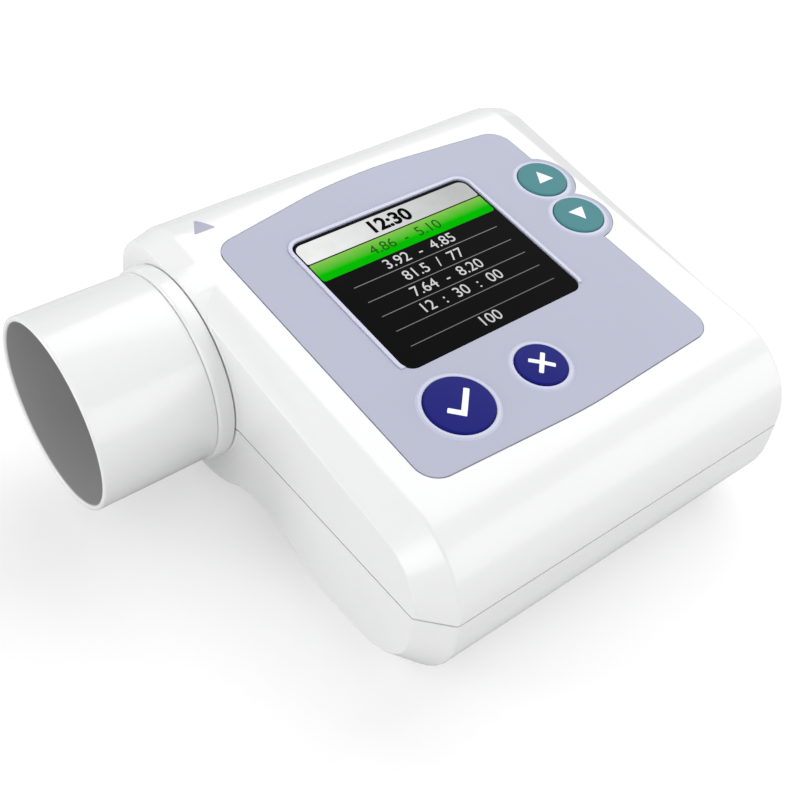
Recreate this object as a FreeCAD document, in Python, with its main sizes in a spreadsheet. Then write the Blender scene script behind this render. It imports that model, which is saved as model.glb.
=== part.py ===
import FreeCAD, Part
import math
import os
from types import SimpleNamespace

import Sketcher
from FreeCAD import Placement, Rotation, Vector

# Handheld spirometer: a wedge-shaped two-shell casing with a keypad and display on its sloping
# deck, and a round airway across its rear that holds a turbine cartridge and a mouthpiece tube.
# Case frame: x runs across from the casing's middle, y back from its front, z up from the parting
# plane. Deck frame: x across, y up the slope, z out of the deck. Airway frame: x along the tube.
# The finished part stands on z = 0, with the middle of its box at x = y = 0.

# Driving dimensions, in millimetres and degrees
DIMENSIONS = [
    ("case_width", 89.0), ("case_depth", 95.0), ("wall", 2.0), ("parting_gap", 0.3),
    ("end_bevel", 4.9), ("bevel_front", 5.4), ("bevel_rear", 0.8),
    ("lower_depth", 22.0), ("deck_front", 15.0), ("deck_tilt", 5.5),
    ("nose_top_radius", 15.0), ("nose_bottom_radius", 17.0), ("rear_top_radius", 12.0),
    ("rear_bottom_radius", 20.0),
    ("belly_setback", 64.0), ("belly_radius", 14.0),
    ("waist_front_setback", 53.0), ("waist_rear_setback", 43.0), ("waist_drop", 16.5),
    ("waist_front_radius", 18.0), ("waist_rear_radius", 10.0),
    ("heel_setback", 34.0), ("heel_radius", 20.0),
    ("lip_height", 1.5), ("lip_clearance", 0.05),
    ("airway_back", 21.0), ("airway_height", 2.4),
    ("boss_radius", 18.9), ("boss_reach", 0.8), ("boss_edge", 0.3), ("boss_inset", 0.3), ("boss_depth", 9.0),
    ("channel_wall", 1.5), ("running_clearance", 0.08), ("body_gap", 0.3), ("seat_gap", 0.05),
    ("cartridge_radius", 12.0), ("cartridge_wall", 1.2), ("end_inset", 0.3),
    ("collar_radius", 18.9), ("collar_taper", 0.4), ("collar_width", 2.4), ("hub_radius", 17.4),
    ("hub_wall", 1.0),
    ("hub_depth", 4.2), ("plate_thickness", 1.2),
    ("lug_count", 2), ("lug_width", 24.0), ("lug_height", 1.3), ("lug_thickness", 1.6),
    ("lug_setback", 2.2), ("lock_turn", 40.0),
    ("seal_setback", 9.0), ("seal_thickness", 1.2), ("seal_depth", 0.75),
    ("tube_reach", 26.0), ("tube_radius", 18.4), ("tube_wall", 1.0), ("tube_root_radius", 18.1),
    ("mouth_length", 12.0), ("socket_length", 15.0), ("spigot_wall", 1.2),
    ("stator_offset", 7.5), ("stator_length", 5.0), ("stator_ring", 0.8),
    ("stator_hub_radius", 2.6), ("vane_count", 6), ("vane_thickness", 0.8), ("vane_sweep", 2.6),
    ("shaft_radius", 0.4), ("bearing_radius", 1.2), ("bearing_length", 2.0), ("bearing_floor", 0.5),
    ("blade_thickness", 0.4), ("blade_clearance", 0.7),
    ("sensor_radius", 1.5), ("sensor_flange", 2.1), ("sensor_tab", 0.8),
    ("recess_depth", 0.4), ("overlay_thickness", 0.5), ("overlay_clearance", 0.1),
    ("overlay_left", -34.9), ("overlay_right", 32.0), ("overlay_top_right", 35.2),
    ("overlay_bottom", 15.2), ("overlay_bottom_crown", 1.6),
    ("overlay_top", 78.2), ("overlay_top_crown", 4.4),
    ("overlay_corner", 4.2), ("lobe_radius", 6.8),
    ("window_width", 41.6), ("window_height", 35.6), ("window_x", -2.4), ("window_y", 53.3),
    ("window_corner", 2.4), ("window_thickness", 1.0), ("window_ledge", 0.8),
    ("display_margin", 2.4), ("display_thickness", 1.8), ("display_glass", 0.75),
    ("board_depth", 4.4), ("board_thickness", 1.0), ("board_left", -35.5), ("board_right", 38.6),
    ("board_bottom", 13.6), ("board_top", 66.0), ("board_ear_gap", 3.2), ("board_step", 61.5),
    ("confirm_x", -20.6), ("confirm_y", 25.2), ("confirm_radius", 6.5),
    ("cancel_x", -2.3), ("cancel_y", 24.8), ("cancel_radius", 5.1),
    ("up_x", 32.5), ("up_y", 62.4), ("down_x", 31.6), ("down_y", 50.7), ("arrow_radius", 5.0),
    ("button_gap", 0.35), ("button_proud", 0.9), ("button_edge", 0.45), ("button_flange", 0.6),
    ("flange_thickness", 0.6), ("press_travel", 0.6), ("nub_radius", 1.2), ("nub_length", 0.25),
    ("dome_radius", 2.5), ("dome_height", 0.35),
    ("post_radius", 2.8), ("screw_radius", 1.0), ("screw_head", 2.1), ("head_thickness", 1.4),
    ("screw_grip", 7.0), ("front_screw_x", 30.0), ("front_screw_y", 9.0), ("front_head_drop", 12.5),
    ("rear_screw_x", 30.0), ("rear_screw_inset", 4.9), ("rear_head_drop", 7.0),
    ("board_post_radius", 2.1), ("board_screw_radius", 0.8), ("board_screw_head", 1.6),
    ("board_screw_thickness", 0.9), ("board_screw_inset", 3.0), ("board_screw_gap", 2.5),
    ("battery_length", 46.0), ("battery_depth", 20.0), ("battery_height", 7.0),
    ("battery_front", 12.5), ("battery_drop", 14.0), ("battery_corner", 2.0),
    ("rib_thickness", 1.2), ("rib_pitch", 15.0), ("rib_count", 3), ("stop_height", 3.0),
    ("plug_x", -24.0), ("plug_y", 44.0), ("plug_width", 6.0), ("plug_depth", 4.0),
    ("plug_height", 3.4), ("plug_shelf", 0.8),
    ("buzzer_x", 22.0), ("buzzer_y", 26.0), ("buzzer_radius", 6.0), ("buzzer_height", 4.0),
    ("buzzer_hole", 1.2),
    ("port_y", 33.0), ("port_width", 7.6), ("port_height", 2.7), ("port_length", 6.0),
    ("port_shell", 0.35), ("port_tongue", 0.7),
    ("chip_size", 9.0), ("chip_height", 1.1), ("chip_pitch", 14.0), ("chip_x", -8.0),
    ("chip_y", 40.0), ("chip_count", 3),
    ("mark_x", -33.8), ("mark_y", 83.2), ("mark_radius", 2.6), ("mark_depth", 0.25), ("cut_margin", 1.0),
]

SKETCH_ORIGIN = (-1, 1)
SKETCH_AXES = {"DistanceX": -2, "DistanceY": -1}
UP = Vector(0, 0, 1)
ACROSS = Vector(1, 0, 0)


def as_size(number):
    """Give a plain number the form that the sheet's sizes have."""
    if isinstance(number, Size):
        return number
    return Size(float(number), f"({float(number)!r})")


class Size:
    """A number, with the sheet expression that gives it."""

    def __init__(self, value, text):
        self.value = value
        self.text = text

    def join(self, sign, other, value):
        return Size(value, f"({self.text} {sign} {other.text})")

    def __add__(self, other):
        other = as_size(other)
        return self.join("+", other, self.value + other.value)

    def __sub__(self, other):
        other = as_size(other)
        return self.join("-", other, self.value - other.value)

    def __mul__(self, other):
        other = as_size(other)
        return self.join("*", other, self.value * other.value)

    def __truediv__(self, other):
        other = as_size(other)
        return self.join("/", other, self.value / other.value)

    def __rsub__(self, other):
        return as_size(other) - self

    def __neg__(self):
        return self * -1

    __radd__ = __add__
    __rmul__ = __mul__


document = FreeCAD.newDocument("HandheldSpirometer")
sheet = document.addObject("Spreadsheet::Sheet", "Sizes")
for row, (alias, number) in enumerate(DIMENSIONS, start=1):
    sheet.set(f"A{row}", alias)
    sheet.set(f"B{row}", str(number))
    sheet.setAlias(f"B{row}", alias)
document.recompute()

size = SimpleNamespace(**{alias: Size(float(sheet.get(alias)), f"Sizes.{alias}") for alias, _ in DIMENSIONS})
num = SimpleNamespace(**{alias: float(sheet.get(alias)) for alias, _ in DIMENSIONS})
pieces = []

# Places shared by several pieces
centre_x = size.tube_reach / 2
front_y = size.case_depth / -2
rest_drop = size.lower_depth
axis_y = size.case_depth - size.airway_back
side_x = size.case_width / 2
cartridge_bore = size.cartridge_radius + size.running_clearance
boss_face = -(side_x + size.boss_reach)
collar_back = boss_face - size.body_gap
collar_front = collar_back - size.collar_width
mouth_x = -(side_x + size.tube_reach)
hub_end = boss_face + size.hub_depth
lug_x = hub_end + size.lug_setback
seal_x = hub_end + size.seal_setback
display_right = size.window_x + size.window_width / 2 + size.display_margin
board_ear_left = display_right + size.board_ear_gap
deck_slope = math.tan(math.radians(num.deck_tilt))


# Placing and checking

def add_piece(piece, frame):
    """Set a piece in its frame and list it for export."""
    base, tilt = frame
    piece.Placement = Placement(Vector(*(part.value for part in base)), Rotation(ACROSS, tilt.value))
    for axis, part in zip("xyz", base):
        piece.setExpression(f".Placement.Base.{axis}", part.text)
    piece.Label = piece.Name
    pieces.append(piece)


def case_frame(x=0, y=0, z=0):
    """The case frame's place in the finished part."""
    return (centre_x + x, front_y + y, rest_drop + z), as_size(0)


def deck_frame():
    """The sloping deck: origin over the casing's front, z out of the surface."""
    return (centre_x, front_y, rest_drop + size.deck_front), size.deck_tilt


def airway_frame():
    """The airway's axis, with x along it."""
    return case_frame(0, axis_y, size.airway_height)


def new_body(name):
    return document.addObject("PartDesign::Body", name)


def new_solid(name, shape, frame):
    """A piece whose moulded form is made with the Part functions."""
    piece = document.addObject("Part::Feature", name)
    piece.Shape = shape
    add_piece(piece, frame)


# Sketches and features

def sketch_on(body, plane, offset=0):
    """A sketch on one of the body's own origin planes, moved along its normal."""
    sketch = body.newObject("Sketcher::SketchObject", f"{body.Name}_sketch")
    support = next(item for item in body.Origin.OriginFeatures if item.Role == plane)
    sketch.AttachmentSupport = [(support, "")]
    sketch.MapMode = "FlatFace"
    sketch.AttachmentOffset = Placement(Vector(0, 0, as_size(offset).value), Rotation())
    sketch.setExpression(".AttachmentOffset.Base.z", as_size(offset).text)
    return sketch


def pin_point(sketch, curve, point, x, y):
    """Hold a point of a sketch curve at (x, y)."""
    for kind, place in (("DistanceX", x), ("DistanceY", y)):
        place = as_size(place)
        if place.value == 0:
            sketch.addConstraint(Sketcher.Constraint("PointOnObject", curve, point, SKETCH_AXES[kind]))
            continue
        index = sketch.addConstraint(Sketcher.Constraint(kind, *SKETCH_ORIGIN, curve, point, place.value))
        sketch.setExpression(f"Constraints[{index}]", place.text)


def draw_outline(sketch, points):
    """A closed outline of straight lines through points, each held by the sheet."""
    corners = [Vector(as_size(x).value, as_size(y).value, 0) for x, y in points]
    ends = corners[1:] + corners[:1]
    first = sketch.GeometryCount
    for start, end in zip(corners, ends):
        sketch.addGeometry(Part.LineSegment(start, end))
    for index, (x, y) in enumerate(points):
        following = first + (index + 1) % len(points)
        sketch.addConstraint(Sketcher.Constraint("Coincident", first + index, 2, following, 1))
        pin_point(sketch, first + index, 1, x, y)


def draw_box(sketch, left, bottom, right, top):
    draw_outline(sketch, [(left, bottom), (right, bottom), (right, top), (left, top)])


def draw_circle(sketch, x, y, radius):
    centre = Vector(as_size(x).value, as_size(y).value, 0)
    curve = sketch.addGeometry(Part.Circle(centre, UP, radius.value))
    pin_point(sketch, curve, 3, x, y)
    index = sketch.addConstraint(Sketcher.Constraint("Radius", curve, radius.value))
    sketch.setExpression(f"Constraints[{index}]", radius.text)


def pad(body, sketch, length, reverse=False):
    feature = body.newObject("PartDesign::Pad", f"{body.Name}_pad")
    feature.Profile = sketch
    feature.Reversed = reverse
    feature.setExpression("Length", as_size(length).text)
    return feature


def pocket(body, sketch, depth, reverse=False):
    """Cut a sketch into the body, and make sure that it removes material."""
    before = body.Shape.Volume
    feature = body.newObject("PartDesign::Pocket", f"{body.Name}_pocket")
    feature.Profile = sketch
    feature.Reversed = reverse
    feature.setExpression("Length", as_size(depth).text)
    document.recompute()
    if body.Shape.Volume >= before:
        raise ValueError(f"{feature.Name} cuts nothing")
    return feature


def revolve(body, sketch, axis="H_Axis"):
    feature = body.newObject("PartDesign::Revolution", f"{body.Name}_turned")
    feature.Profile = sketch
    feature.ReferenceAxis = (sketch, [axis])
    feature.Angle = 360
    return feature


def repeat_round(body, feature, count, role="X_Axis"):
    """Repeat a feature round one of the body's own axes."""
    pattern = body.newObject("PartDesign::PolarPattern", f"{body.Name}_pattern")
    pattern.Originals = [feature]
    axis = next(item for item in body.Origin.OriginFeatures if item.Role == role)
    pattern.Axis = (axis, [""])
    pattern.Angle = 360
    pattern.setExpression("Occurrences", count.text)
    body.Tip = pattern


def round_edges(body, feature, names, radius):
    fillet = body.newObject("PartDesign::Fillet", f"{body.Name}_round")
    fillet.Base = (feature, names)
    fillet.setExpression("Radius", radius.text)


def upright_edges(shape):
    """Names of the straight edges along the sketch's normal."""
    names = []
    for index, edge in enumerate(shape.Edges, start=1):
        if len(edge.Vertexes) < 2:
            continue
        run = edge.Vertexes[1].Point - edge.Vertexes[0].Point
        if abs(run.x) + abs(run.y) < Part.Precision.confusion() * 100:
            names.append(f"Edge{index}")
    return names


# Outlines with rounded corners

def rounded_wire(corners):
    """A closed wire in the xy plane through corners (x, y, radius)."""
    arcs = []
    for index, (x, y, radius) in enumerate(corners):
        here = Vector(x, y, 0)
        before = (Vector(*corners[index - 1][:2], 0) - here).normalize()
        after = (Vector(*corners[(index + 1) % len(corners)][:2], 0) - here).normalize()
        half = before.getAngle(after) / 2
        reach = radius / math.tan(half)
        middle = here + (before + after).normalize() * (radius / math.sin(half) - radius)
        arcs.append((here + before * reach, middle, here + after * reach))
    edges = []
    for index, arc in enumerate(arcs):
        edges.append(Part.Arc(*arc).toShape())
        edges.append(Part.LineSegment(arc[2], arcs[(index + 1) % len(arcs)][0]).toShape())
    return Part.Wire(edges)


def inset_corners(corners, inset_at):
    """Move each corner of an anticlockwise outline inwards from both of its edges."""
    moved = []
    for index, (x, y, radius) in enumerate(corners):
        here = Vector(x, y, 0)
        arriving = (here - Vector(*corners[index - 1][:2], 0)).normalize()
        leaving = (Vector(*corners[(index + 1) % len(corners)][:2], 0) - here).normalize()
        sides = [UP.cross(arriving), UP.cross(leaving)]
        inset = inset_at(x)
        shift = (sides[0] + sides[1]) * (inset / (1 + sides[0].dot(sides[1])))
        outward = arriving.cross(leaving).z > 0
        moved.append((x + shift.x, y + shift.y, radius - inset if outward else radius + inset))
    return moved


def plate(corners, low, high):
    """A flat plate with rounded corners, from one height to the other."""
    face = Part.Face(rounded_wire(corners))
    face.translate(UP * low)
    return face.extrude(UP * (high - low))


def box_corners(left, bottom, right, top, radius):
    return [(left, bottom, radius), (right, bottom, radius), (right, top, radius), (left, top, radius)]


def rod_x(radius, start, end):
    """A cylinder along the airway, in the case frame."""
    return Part.makeCylinder(radius, end - start, Vector(start, axis_y.value, num.airway_height), ACROSS)


def slab(low, high):
    """Everything between two heights in the case frame."""
    margin = num.case_width
    corner = Vector(-2 * margin, -margin, low)
    return Part.makeBox(4 * margin, 4 * margin, high - low, corner)


def on_deck(shape):
    """Move a shape from the deck frame into the case frame."""
    shape.Placement = Placement(UP * num.deck_front, Rotation(ACROSS, num.deck_tilt)).multiply(shape.Placement)
    return shape


# Casing

def case_corners():
    """The casing's side outline (y, z, radius), anticlockwise from the front."""
    drop = rest_drop.value
    rear = num.case_depth
    deck_rear = num.deck_front + deck_slope * rear
    return [
        (0, -drop, num.nose_bottom_radius),
        (rear - num.belly_setback, -drop, num.belly_radius),
        (rear - num.waist_front_setback, -num.waist_drop, num.waist_front_radius),
        (rear - num.waist_rear_setback, -num.waist_drop, num.waist_rear_radius),
        (rear - num.heel_setback, -drop, num.heel_radius),
        (rear, -drop, num.rear_bottom_radius),
        (rear, deck_rear, num.rear_top_radius),
        (0, num.deck_front, num.nose_top_radius),
    ]


def end_bevel_at(y):
    """The bevel round the side faces narrows from the front to the rear."""
    return num.bevel_front + (num.bevel_rear - num.bevel_front) * y / num.case_depth


def across(corners, x):
    """Stand a side outline up at a place across the casing."""
    wire = rounded_wire(corners)
    wire.Placement = Placement(ACROSS * x, Rotation(Vector(0, 1, 0), UP, ACROSS, "XYZ"))
    return wire


def ruled_solid(first, last):
    """A solid between two outlines whose edges match one to one."""
    faces = [Part.Face(first), Part.Face(last)]
    faces += [Part.makeRuledSurface(one, other) for one, other in zip(first.Edges, last.Edges)]
    shell = Part.makeCompound(faces)
    shell.sewShape()
    return Part.Solid(shell.Shells[0])


def case_block(inset=0.0):
    """The casing's solid form, its surface moved inwards by inset."""
    ridge = inset_corners(case_corners(), lambda y: inset)
    face = inset_corners(case_corners(), lambda y: inset + end_bevel_at(y))
    face_x = side_x.value - inset
    ridge_x = side_x.value - num.end_bevel - inset * math.tan(math.pi / 8)
    middle = Part.Face(across(ridge, -ridge_x)).extrude(ACROSS * 2 * ridge_x)
    ends = [ruled_solid(across(face, side * face_x), across(ridge, side * ridge_x)) for side in (-1, 1)]
    return middle.fuse(ends).removeSplitter()


def boss_rod():
    """The boss as a plain round, with its outer rim taken off."""
    rim = boss_face.value + num.boss_edge
    start = Vector(boss_face.value, axis_y.value, num.airway_height)
    cone = Part.makeCone(num.boss_radius - num.boss_edge, num.boss_radius, num.boss_edge, start, ACROSS)
    return cone.fuse(rod_x(num.boss_radius, rim, boss_face.value + num.boss_depth))


def boss_solid():
    """The round boss on the left side, no higher than the deck beside it."""
    outline = across(inset_corners(case_corners(), lambda y: num.boss_inset), boss_face.value)
    return boss_rod().common(Part.Face(outline).extrude(ACROSS * num.boss_depth))


def bayonet_slots():
    """Axial ways in for the cartridge's lugs, and the arcs that they turn in."""
    radius = cartridge_bore.value + num.lug_height + num.body_gap
    slots = []
    play = math.degrees(num.body_gap / num.cartridge_radius)
    for index in range(int(num.lug_count)):
        start = 360 / num.lug_count * index - num.lug_width / 2 - play
        width = num.lug_width + 2 * play
        for sweep, begin, end in (
                (width, start - num.lock_turn, (hub_end.value, lug_x.value + num.lug_thickness)),
                (width + num.lock_turn, start - num.lock_turn, (lug_x.value, lug_x.value + num.lug_thickness))):
            low, high = end[0] - num.body_gap, end[1] + num.body_gap
            slot = Part.makeCylinder(radius, high - low, Vector(0, 0, 0), UP, sweep)
            slot.rotate(Vector(0, 0, 0), UP, begin)
            slot.Placement = Placement(
                Vector(low, axis_y.value, num.airway_height),
                Rotation(Vector(0, 1, 0), UP, ACROSS, "XYZ")).multiply(slot.Placement)
            slots.append(slot)
    return slots


def sensor_pockets():
    """Cross holes in the channel for the light sender and receiver."""
    start = axis_y.value - num.case_depth
    middle = Vector(0, start, num.airway_height)
    length = num.case_depth - num.wall - start
    hole = Part.makeCylinder(num.sensor_radius + num.seat_gap, length, middle, Vector(0, 1, 0))
    reach = num.case_depth - axis_y.value - num.wall
    limit = rod_x(axis_y.value, -num.case_width, num.case_width).common(
        Part.makeBox(num.case_width, 2 * reach, num.case_width,
                     Vector(-side_x.value, axis_y.value - reach, -side_x.value)))
    return hole.common(limit)


def full_casing():
    """Both shells as one hollow, with the boss and the airway's channel."""
    block = case_block()
    solid = block.fuse(boss_solid())
    half = side_x.value
    channel = rod_x(cartridge_bore.value + num.channel_wall, -half, half)
    hollow = solid.cut(case_block(num.wall)).fuse([channel.common(solid), boss_rod().common(solid)])
    bore = rod_x(cartridge_bore.value, -2 * half, 2 * half)
    counterbore = rod_x(num.hub_radius + num.running_clearance, boss_face.value - num.cut_margin,
                        hub_end.value + num.body_gap)
    return solid, hollow.cut([bore, counterbore, sensor_pockets()] + bayonet_slots())


def screw_places():
    """Case screw places (x, y, how far the head sits below the parting plane)."""
    rear_y = num.case_depth - num.rear_screw_inset
    return [(side * x, y, drop) for side in (-1, 1) for x, y, drop in (
        (num.front_screw_x, num.front_screw_y, num.front_head_drop),
        (num.rear_screw_x, rear_y, num.rear_head_drop))]


def board_screw_places():
    """Board screw places (x, y) in the deck frame."""
    inset = num.board_screw_inset
    return [(num.board_left + inset, num.board_bottom + inset),
            (num.board_right - inset, num.board_bottom + inset),
            (num.board_left + inset, num.board_step - inset),
            (display_right.value + num.board_screw_gap, num.board_step - inset)]


def lip_ring(inset, low, high):
    """The tongue that locates the two shells, along the inner half of the wall."""
    return case_block(inset).cut(case_block(num.wall)).common(slab(low, high))


def buttons():
    """Each key's name, place on the deck and cap radius."""
    return [("confirm_button", size.confirm_x, size.confirm_y, size.confirm_radius),
            ("cancel_button", size.cancel_x, size.cancel_y, size.cancel_radius),
            ("up_button", size.up_x, size.up_y, size.arrow_radius),
            ("down_button", size.down_x, size.down_y, size.arrow_radius)]


def button_holes(low, high):
    """Clearance holes for the key caps, between two heights in the deck frame."""
    return [Part.makeCylinder(radius.value + num.button_gap, high - low, Vector(x.value, y.value, low))
            for _, x, y, radius in buttons()]


def window_corners(margin):
    """The display window's outline, grown on all sides by margin."""
    half_width = num.window_width / 2 + margin
    half_height = num.window_height / 2 + margin
    return box_corners(num.window_x - half_width, num.window_y - half_height,
                       num.window_x + half_width, num.window_y + half_height,
                       num.window_corner + margin)


def overlay_solid(margin, low, high):
    """The keypad overlay's outline: crowned top and bottom, with a lobe round each arrow key."""
    corner = num.overlay_corner + margin
    left = num.overlay_left - margin
    right = num.overlay_right + margin
    top_right = num.overlay_top_right + margin
    middle = (num.overlay_left + num.overlay_right) / 2
    crown = num.case_depth
    shoulder = num.up_y + num.lobe_radius / 2
    outline = [
        (left, num.overlay_bottom - margin, corner),
        (middle, num.overlay_bottom - num.overlay_bottom_crown - margin, crown),
        (right, num.overlay_bottom - margin, corner),
        (right, num.down_y, num.seat_gap),
        (top_right, shoulder, num.seat_gap),
        (top_right, num.overlay_top + num.overlay_corner / 4 + margin, corner),
        (middle, num.overlay_top + num.overlay_top_crown + margin, crown),
        (left, num.overlay_top - num.overlay_corner / 4 + margin, corner),
    ]
    lobes = [Part.makeCylinder(num.lobe_radius + margin, high - low, Vector(x, y, low))
             for x, y in ((num.up_x, num.up_y), (num.down_x, num.down_y))]
    return plate(outline, low, high).fuse(lobes).removeSplitter()


def mark_corners():
    """The alignment mark: a triangle that points back."""
    corners = []
    for turn in (90, 210, 330):
        angle = math.radians(turn)
        corners.append((num.mark_x + num.mark_radius * math.cos(angle),
                        num.mark_y + num.mark_radius * math.sin(angle), num.mark_radius / 10))
    return corners


def port_box(margin, start, end):
    """The charging port's envelope on the right side, in the case frame."""
    height = num.port_height + 2 * margin
    width = num.port_width + 2 * margin
    top = -(num.board_depth + num.board_thickness) + margin
    block = Part.makeBox(end - start, width, height, Vector(start, num.port_y - width / 2, top - height))
    return on_deck(block)


def make_top_shell(solid, hollow):
    gap = num.parting_gap / 2
    ceiling = 2 * num.case_width
    shell = hollow.common(slab(gap, ceiling))
    shell = shell.fuse(lip_ring(num.wall / 2, -num.lip_height, gap).cut(airway_clearance()))
    pilot = num.screw_grip + num.screw_radius
    for x, y, _ in screw_places():
        post = Part.makeCylinder(num.post_radius, ceiling, Vector(x, y, gap)).common(solid)
        shell = shell.fuse(post)
    drill = num.screw_radius + num.seat_gap
    shell = shell.cut([Part.makeCylinder(drill, pilot, Vector(x, y, gap - num.cut_margin))
                       for x, y, _ in screw_places()])
    board_posts = [Part.makeCylinder(num.board_post_radius, num.board_depth - num.wall / 2,
                                     Vector(x, y, -num.board_depth)) for x, y in board_screw_places()]
    shell = shell.fuse([on_deck(post) for post in board_posts])
    drill = num.board_screw_radius + num.seat_gap
    deep = num.board_depth
    cuts = [Part.makeCylinder(drill, deep - num.wall / 2, Vector(x, y, -deep))
            for x, y in board_screw_places()]
    cuts.append(overlay_solid(num.overlay_clearance, -num.recess_depth, num.wall))
    cuts.append(plate(window_corners(num.overlay_clearance), -num.window_thickness - num.recess_depth, num.wall))
    cuts.append(plate(window_corners(-num.window_ledge), -2 * num.wall, num.wall))
    cuts.append(plate(mark_corners(), -num.mark_depth, num.wall))
    cuts.extend(button_holes(-2 * num.wall, num.wall))
    shell = shell.cut([on_deck(cut) for cut in cuts])
    return shell.cut(port_box(num.overlay_clearance, side_x.value - 2 * num.wall, num.case_width))


def airway_clearance():
    """The boss and channel, which the lip leaves free."""
    half = side_x.value
    return rod_x(num.boss_radius, -2 * half, -half + num.boss_depth).fuse(
        rod_x(cartridge_bore.value + num.channel_wall, -half, 2 * half))


def battery_ribs():
    """Ribs under the battery, and a stop across its rear."""
    floor = -rest_drop.value
    top = -num.battery_drop - num.seat_gap
    rear = num.battery_front + num.battery_depth + num.seat_gap
    ribs = []
    for index in range(int(num.rib_count)):
        left = (index - (num.rib_count - 1) / 2) * num.rib_pitch - num.rib_thickness / 2
        ribs.append(Part.makeBox(num.rib_thickness, rear, top - floor, Vector(left, 0, floor)))
    stop = Part.makeBox(num.battery_length, num.rib_thickness, top - floor + num.stop_height,
                        Vector(-num.battery_length / 2, rear, floor))
    return stop.fuse(ribs)


def make_bottom_shell(solid, hollow):
    gap = num.parting_gap / 2
    floor = -2 * num.case_width
    shell = hollow.common(slab(floor, -gap))
    for x, y, _ in screw_places():
        post = Part.makeCylinder(num.post_radius, -gap - floor, Vector(x, y, floor)).common(solid)
        shell = shell.fuse(post)
    groove = lip_ring(num.wall / 2 - num.lip_clearance, -num.lip_height - num.lip_clearance, gap)
    shell = shell.cut(groove.cut(airway_clearance()))
    holes = []
    for x, y, drop in screw_places():
        holes.append(Part.makeCylinder(num.screw_radius + num.seat_gap, -gap - floor, Vector(x, y, floor)))
        holes.append(Part.makeCylinder(num.screw_head + num.seat_gap, -drop - floor, Vector(x, y, floor)))
    return shell.fuse(battery_ribs().common(case_block(num.wall / 2))).cut(holes)


def make_casing():
    solid, hollow = full_casing()
    new_solid("top_shell", make_top_shell(solid, hollow), case_frame())
    new_solid("bottom_shell", make_bottom_shell(solid, hollow), case_frame())


# Keypad and display

def make_overlay():
    low = -num.recess_depth
    sheet_solid = overlay_solid(0, low, low + num.overlay_thickness)
    window = plate(window_corners(num.overlay_clearance), low - num.cut_margin, num.cut_margin)
    holes = button_holes(low - num.cut_margin, num.cut_margin)
    new_solid("keypad_overlay", sheet_solid.cut([window] + holes), deck_frame())


def make_display_window():
    low = -num.window_thickness - num.recess_depth + num.seat_gap
    new_solid("display_window", plate(window_corners(0), low, 0), deck_frame())


def make_display_module():
    """Display: a back plate under the deck, with its glass standing up in the opening."""
    body = new_body("display_module")
    half_width = size.window_width / 2 + size.display_margin
    half_height = size.window_height / 2 + size.display_margin
    top = -(size.wall + size.seat_gap)
    frame = sketch_on(body, "XY_Plane", top)
    draw_box(frame, size.window_x - half_width, size.window_y - half_height,
             size.window_x + half_width, size.window_y + half_height)
    pad(body, frame, size.display_thickness, reverse=True)
    corner_room = size.window_corner / 4
    inner_width = half_width - size.display_margin - size.window_ledge - corner_room
    inner_height = half_height - size.display_margin - size.window_ledge - corner_room
    glass = sketch_on(body, "XY_Plane", top)
    draw_box(glass, size.window_x - inner_width, size.window_y - inner_height,
             size.window_x + inner_width, size.window_y + inner_height)
    pad(body, glass, size.wall - size.window_thickness - size.recess_depth)
    add_piece(body, deck_frame())


def make_button(name, x, y, radius):
    """A key: a domed cap in its hole, a flange under the deck and a nub over its dome."""
    body = new_body(name)
    edge = size.button_edge
    flange_top = -(size.wall + size.body_gap)
    flange_bottom = flange_top - size.flange_thickness
    sketch = sketch_on(body, "XZ_Plane")
    draw_outline(sketch, [
        (0, flange_bottom - size.nub_length), (size.nub_radius, flange_bottom - size.nub_length),
        (size.nub_radius, flange_bottom), (radius + size.button_flange, flange_bottom),
        (radius + size.button_flange, flange_top), (radius, flange_top),
        (radius, size.button_proud - edge), (radius - edge, size.button_proud),
        (0, size.button_proud + edge / 3)])
    revolve(body, sketch, "V_Axis")
    base, tilt = deck_frame()
    run = math.cos(math.radians(num.deck_tilt))
    rise = math.sin(math.radians(num.deck_tilt))
    add_piece(body, ((base[0] + x, base[1] + y * run, base[2] + y * rise), tilt))


def make_snap_domes():
    """Four snap domes on the board, one under each key."""
    domes = []
    radius = num.dome_radius
    sphere = (radius ** 2 + num.dome_height ** 2) / (2 * num.dome_height)
    for _, x, y, _ in buttons():
        cap = Part.makeSphere(sphere, Vector(x.value, y.value, -num.board_depth + num.dome_height - sphere))
        corner = Vector(x.value - radius, y.value - radius, -num.board_depth)
        above = Part.makeBox(2 * radius, 2 * radius, radius, corner)
        domes.append(cap.common(above))
    new_solid("snap_domes", Part.makeCompound(domes), deck_frame())


# Electronics

def make_main_board():
    """The board, parallel to the deck, with an ear that carries the arrow keys' domes."""
    body = new_body("main_board")
    sketch = sketch_on(body, "XY_Plane", -size.board_depth)
    draw_outline(sketch, [
        (size.board_left, size.board_bottom), (size.board_right, size.board_bottom),
        (size.board_right, size.board_top), (board_ear_left, size.board_top),
        (board_ear_left, size.board_step), (size.board_left, size.board_step)])
    for x, y in board_screw_places():
        draw_circle(sketch, x, y, size.board_screw_radius + size.seat_gap)
    pad(body, sketch, size.board_thickness, reverse=True)
    add_piece(body, deck_frame())


def make_board_screws():
    low = -(num.board_depth + num.board_thickness)
    screws = []
    for x, y in board_screw_places():
        head = Part.makeCylinder(num.board_screw_head, num.board_screw_thickness, Vector(x, y, low), -UP)
        shank = Part.makeCylinder(num.board_screw_radius, num.board_depth - num.wall / 2, Vector(x, y, low))
        screws.append(head.fuse(shank))
    new_solid("board_screws", Part.makeCompound(screws), deck_frame())


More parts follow.
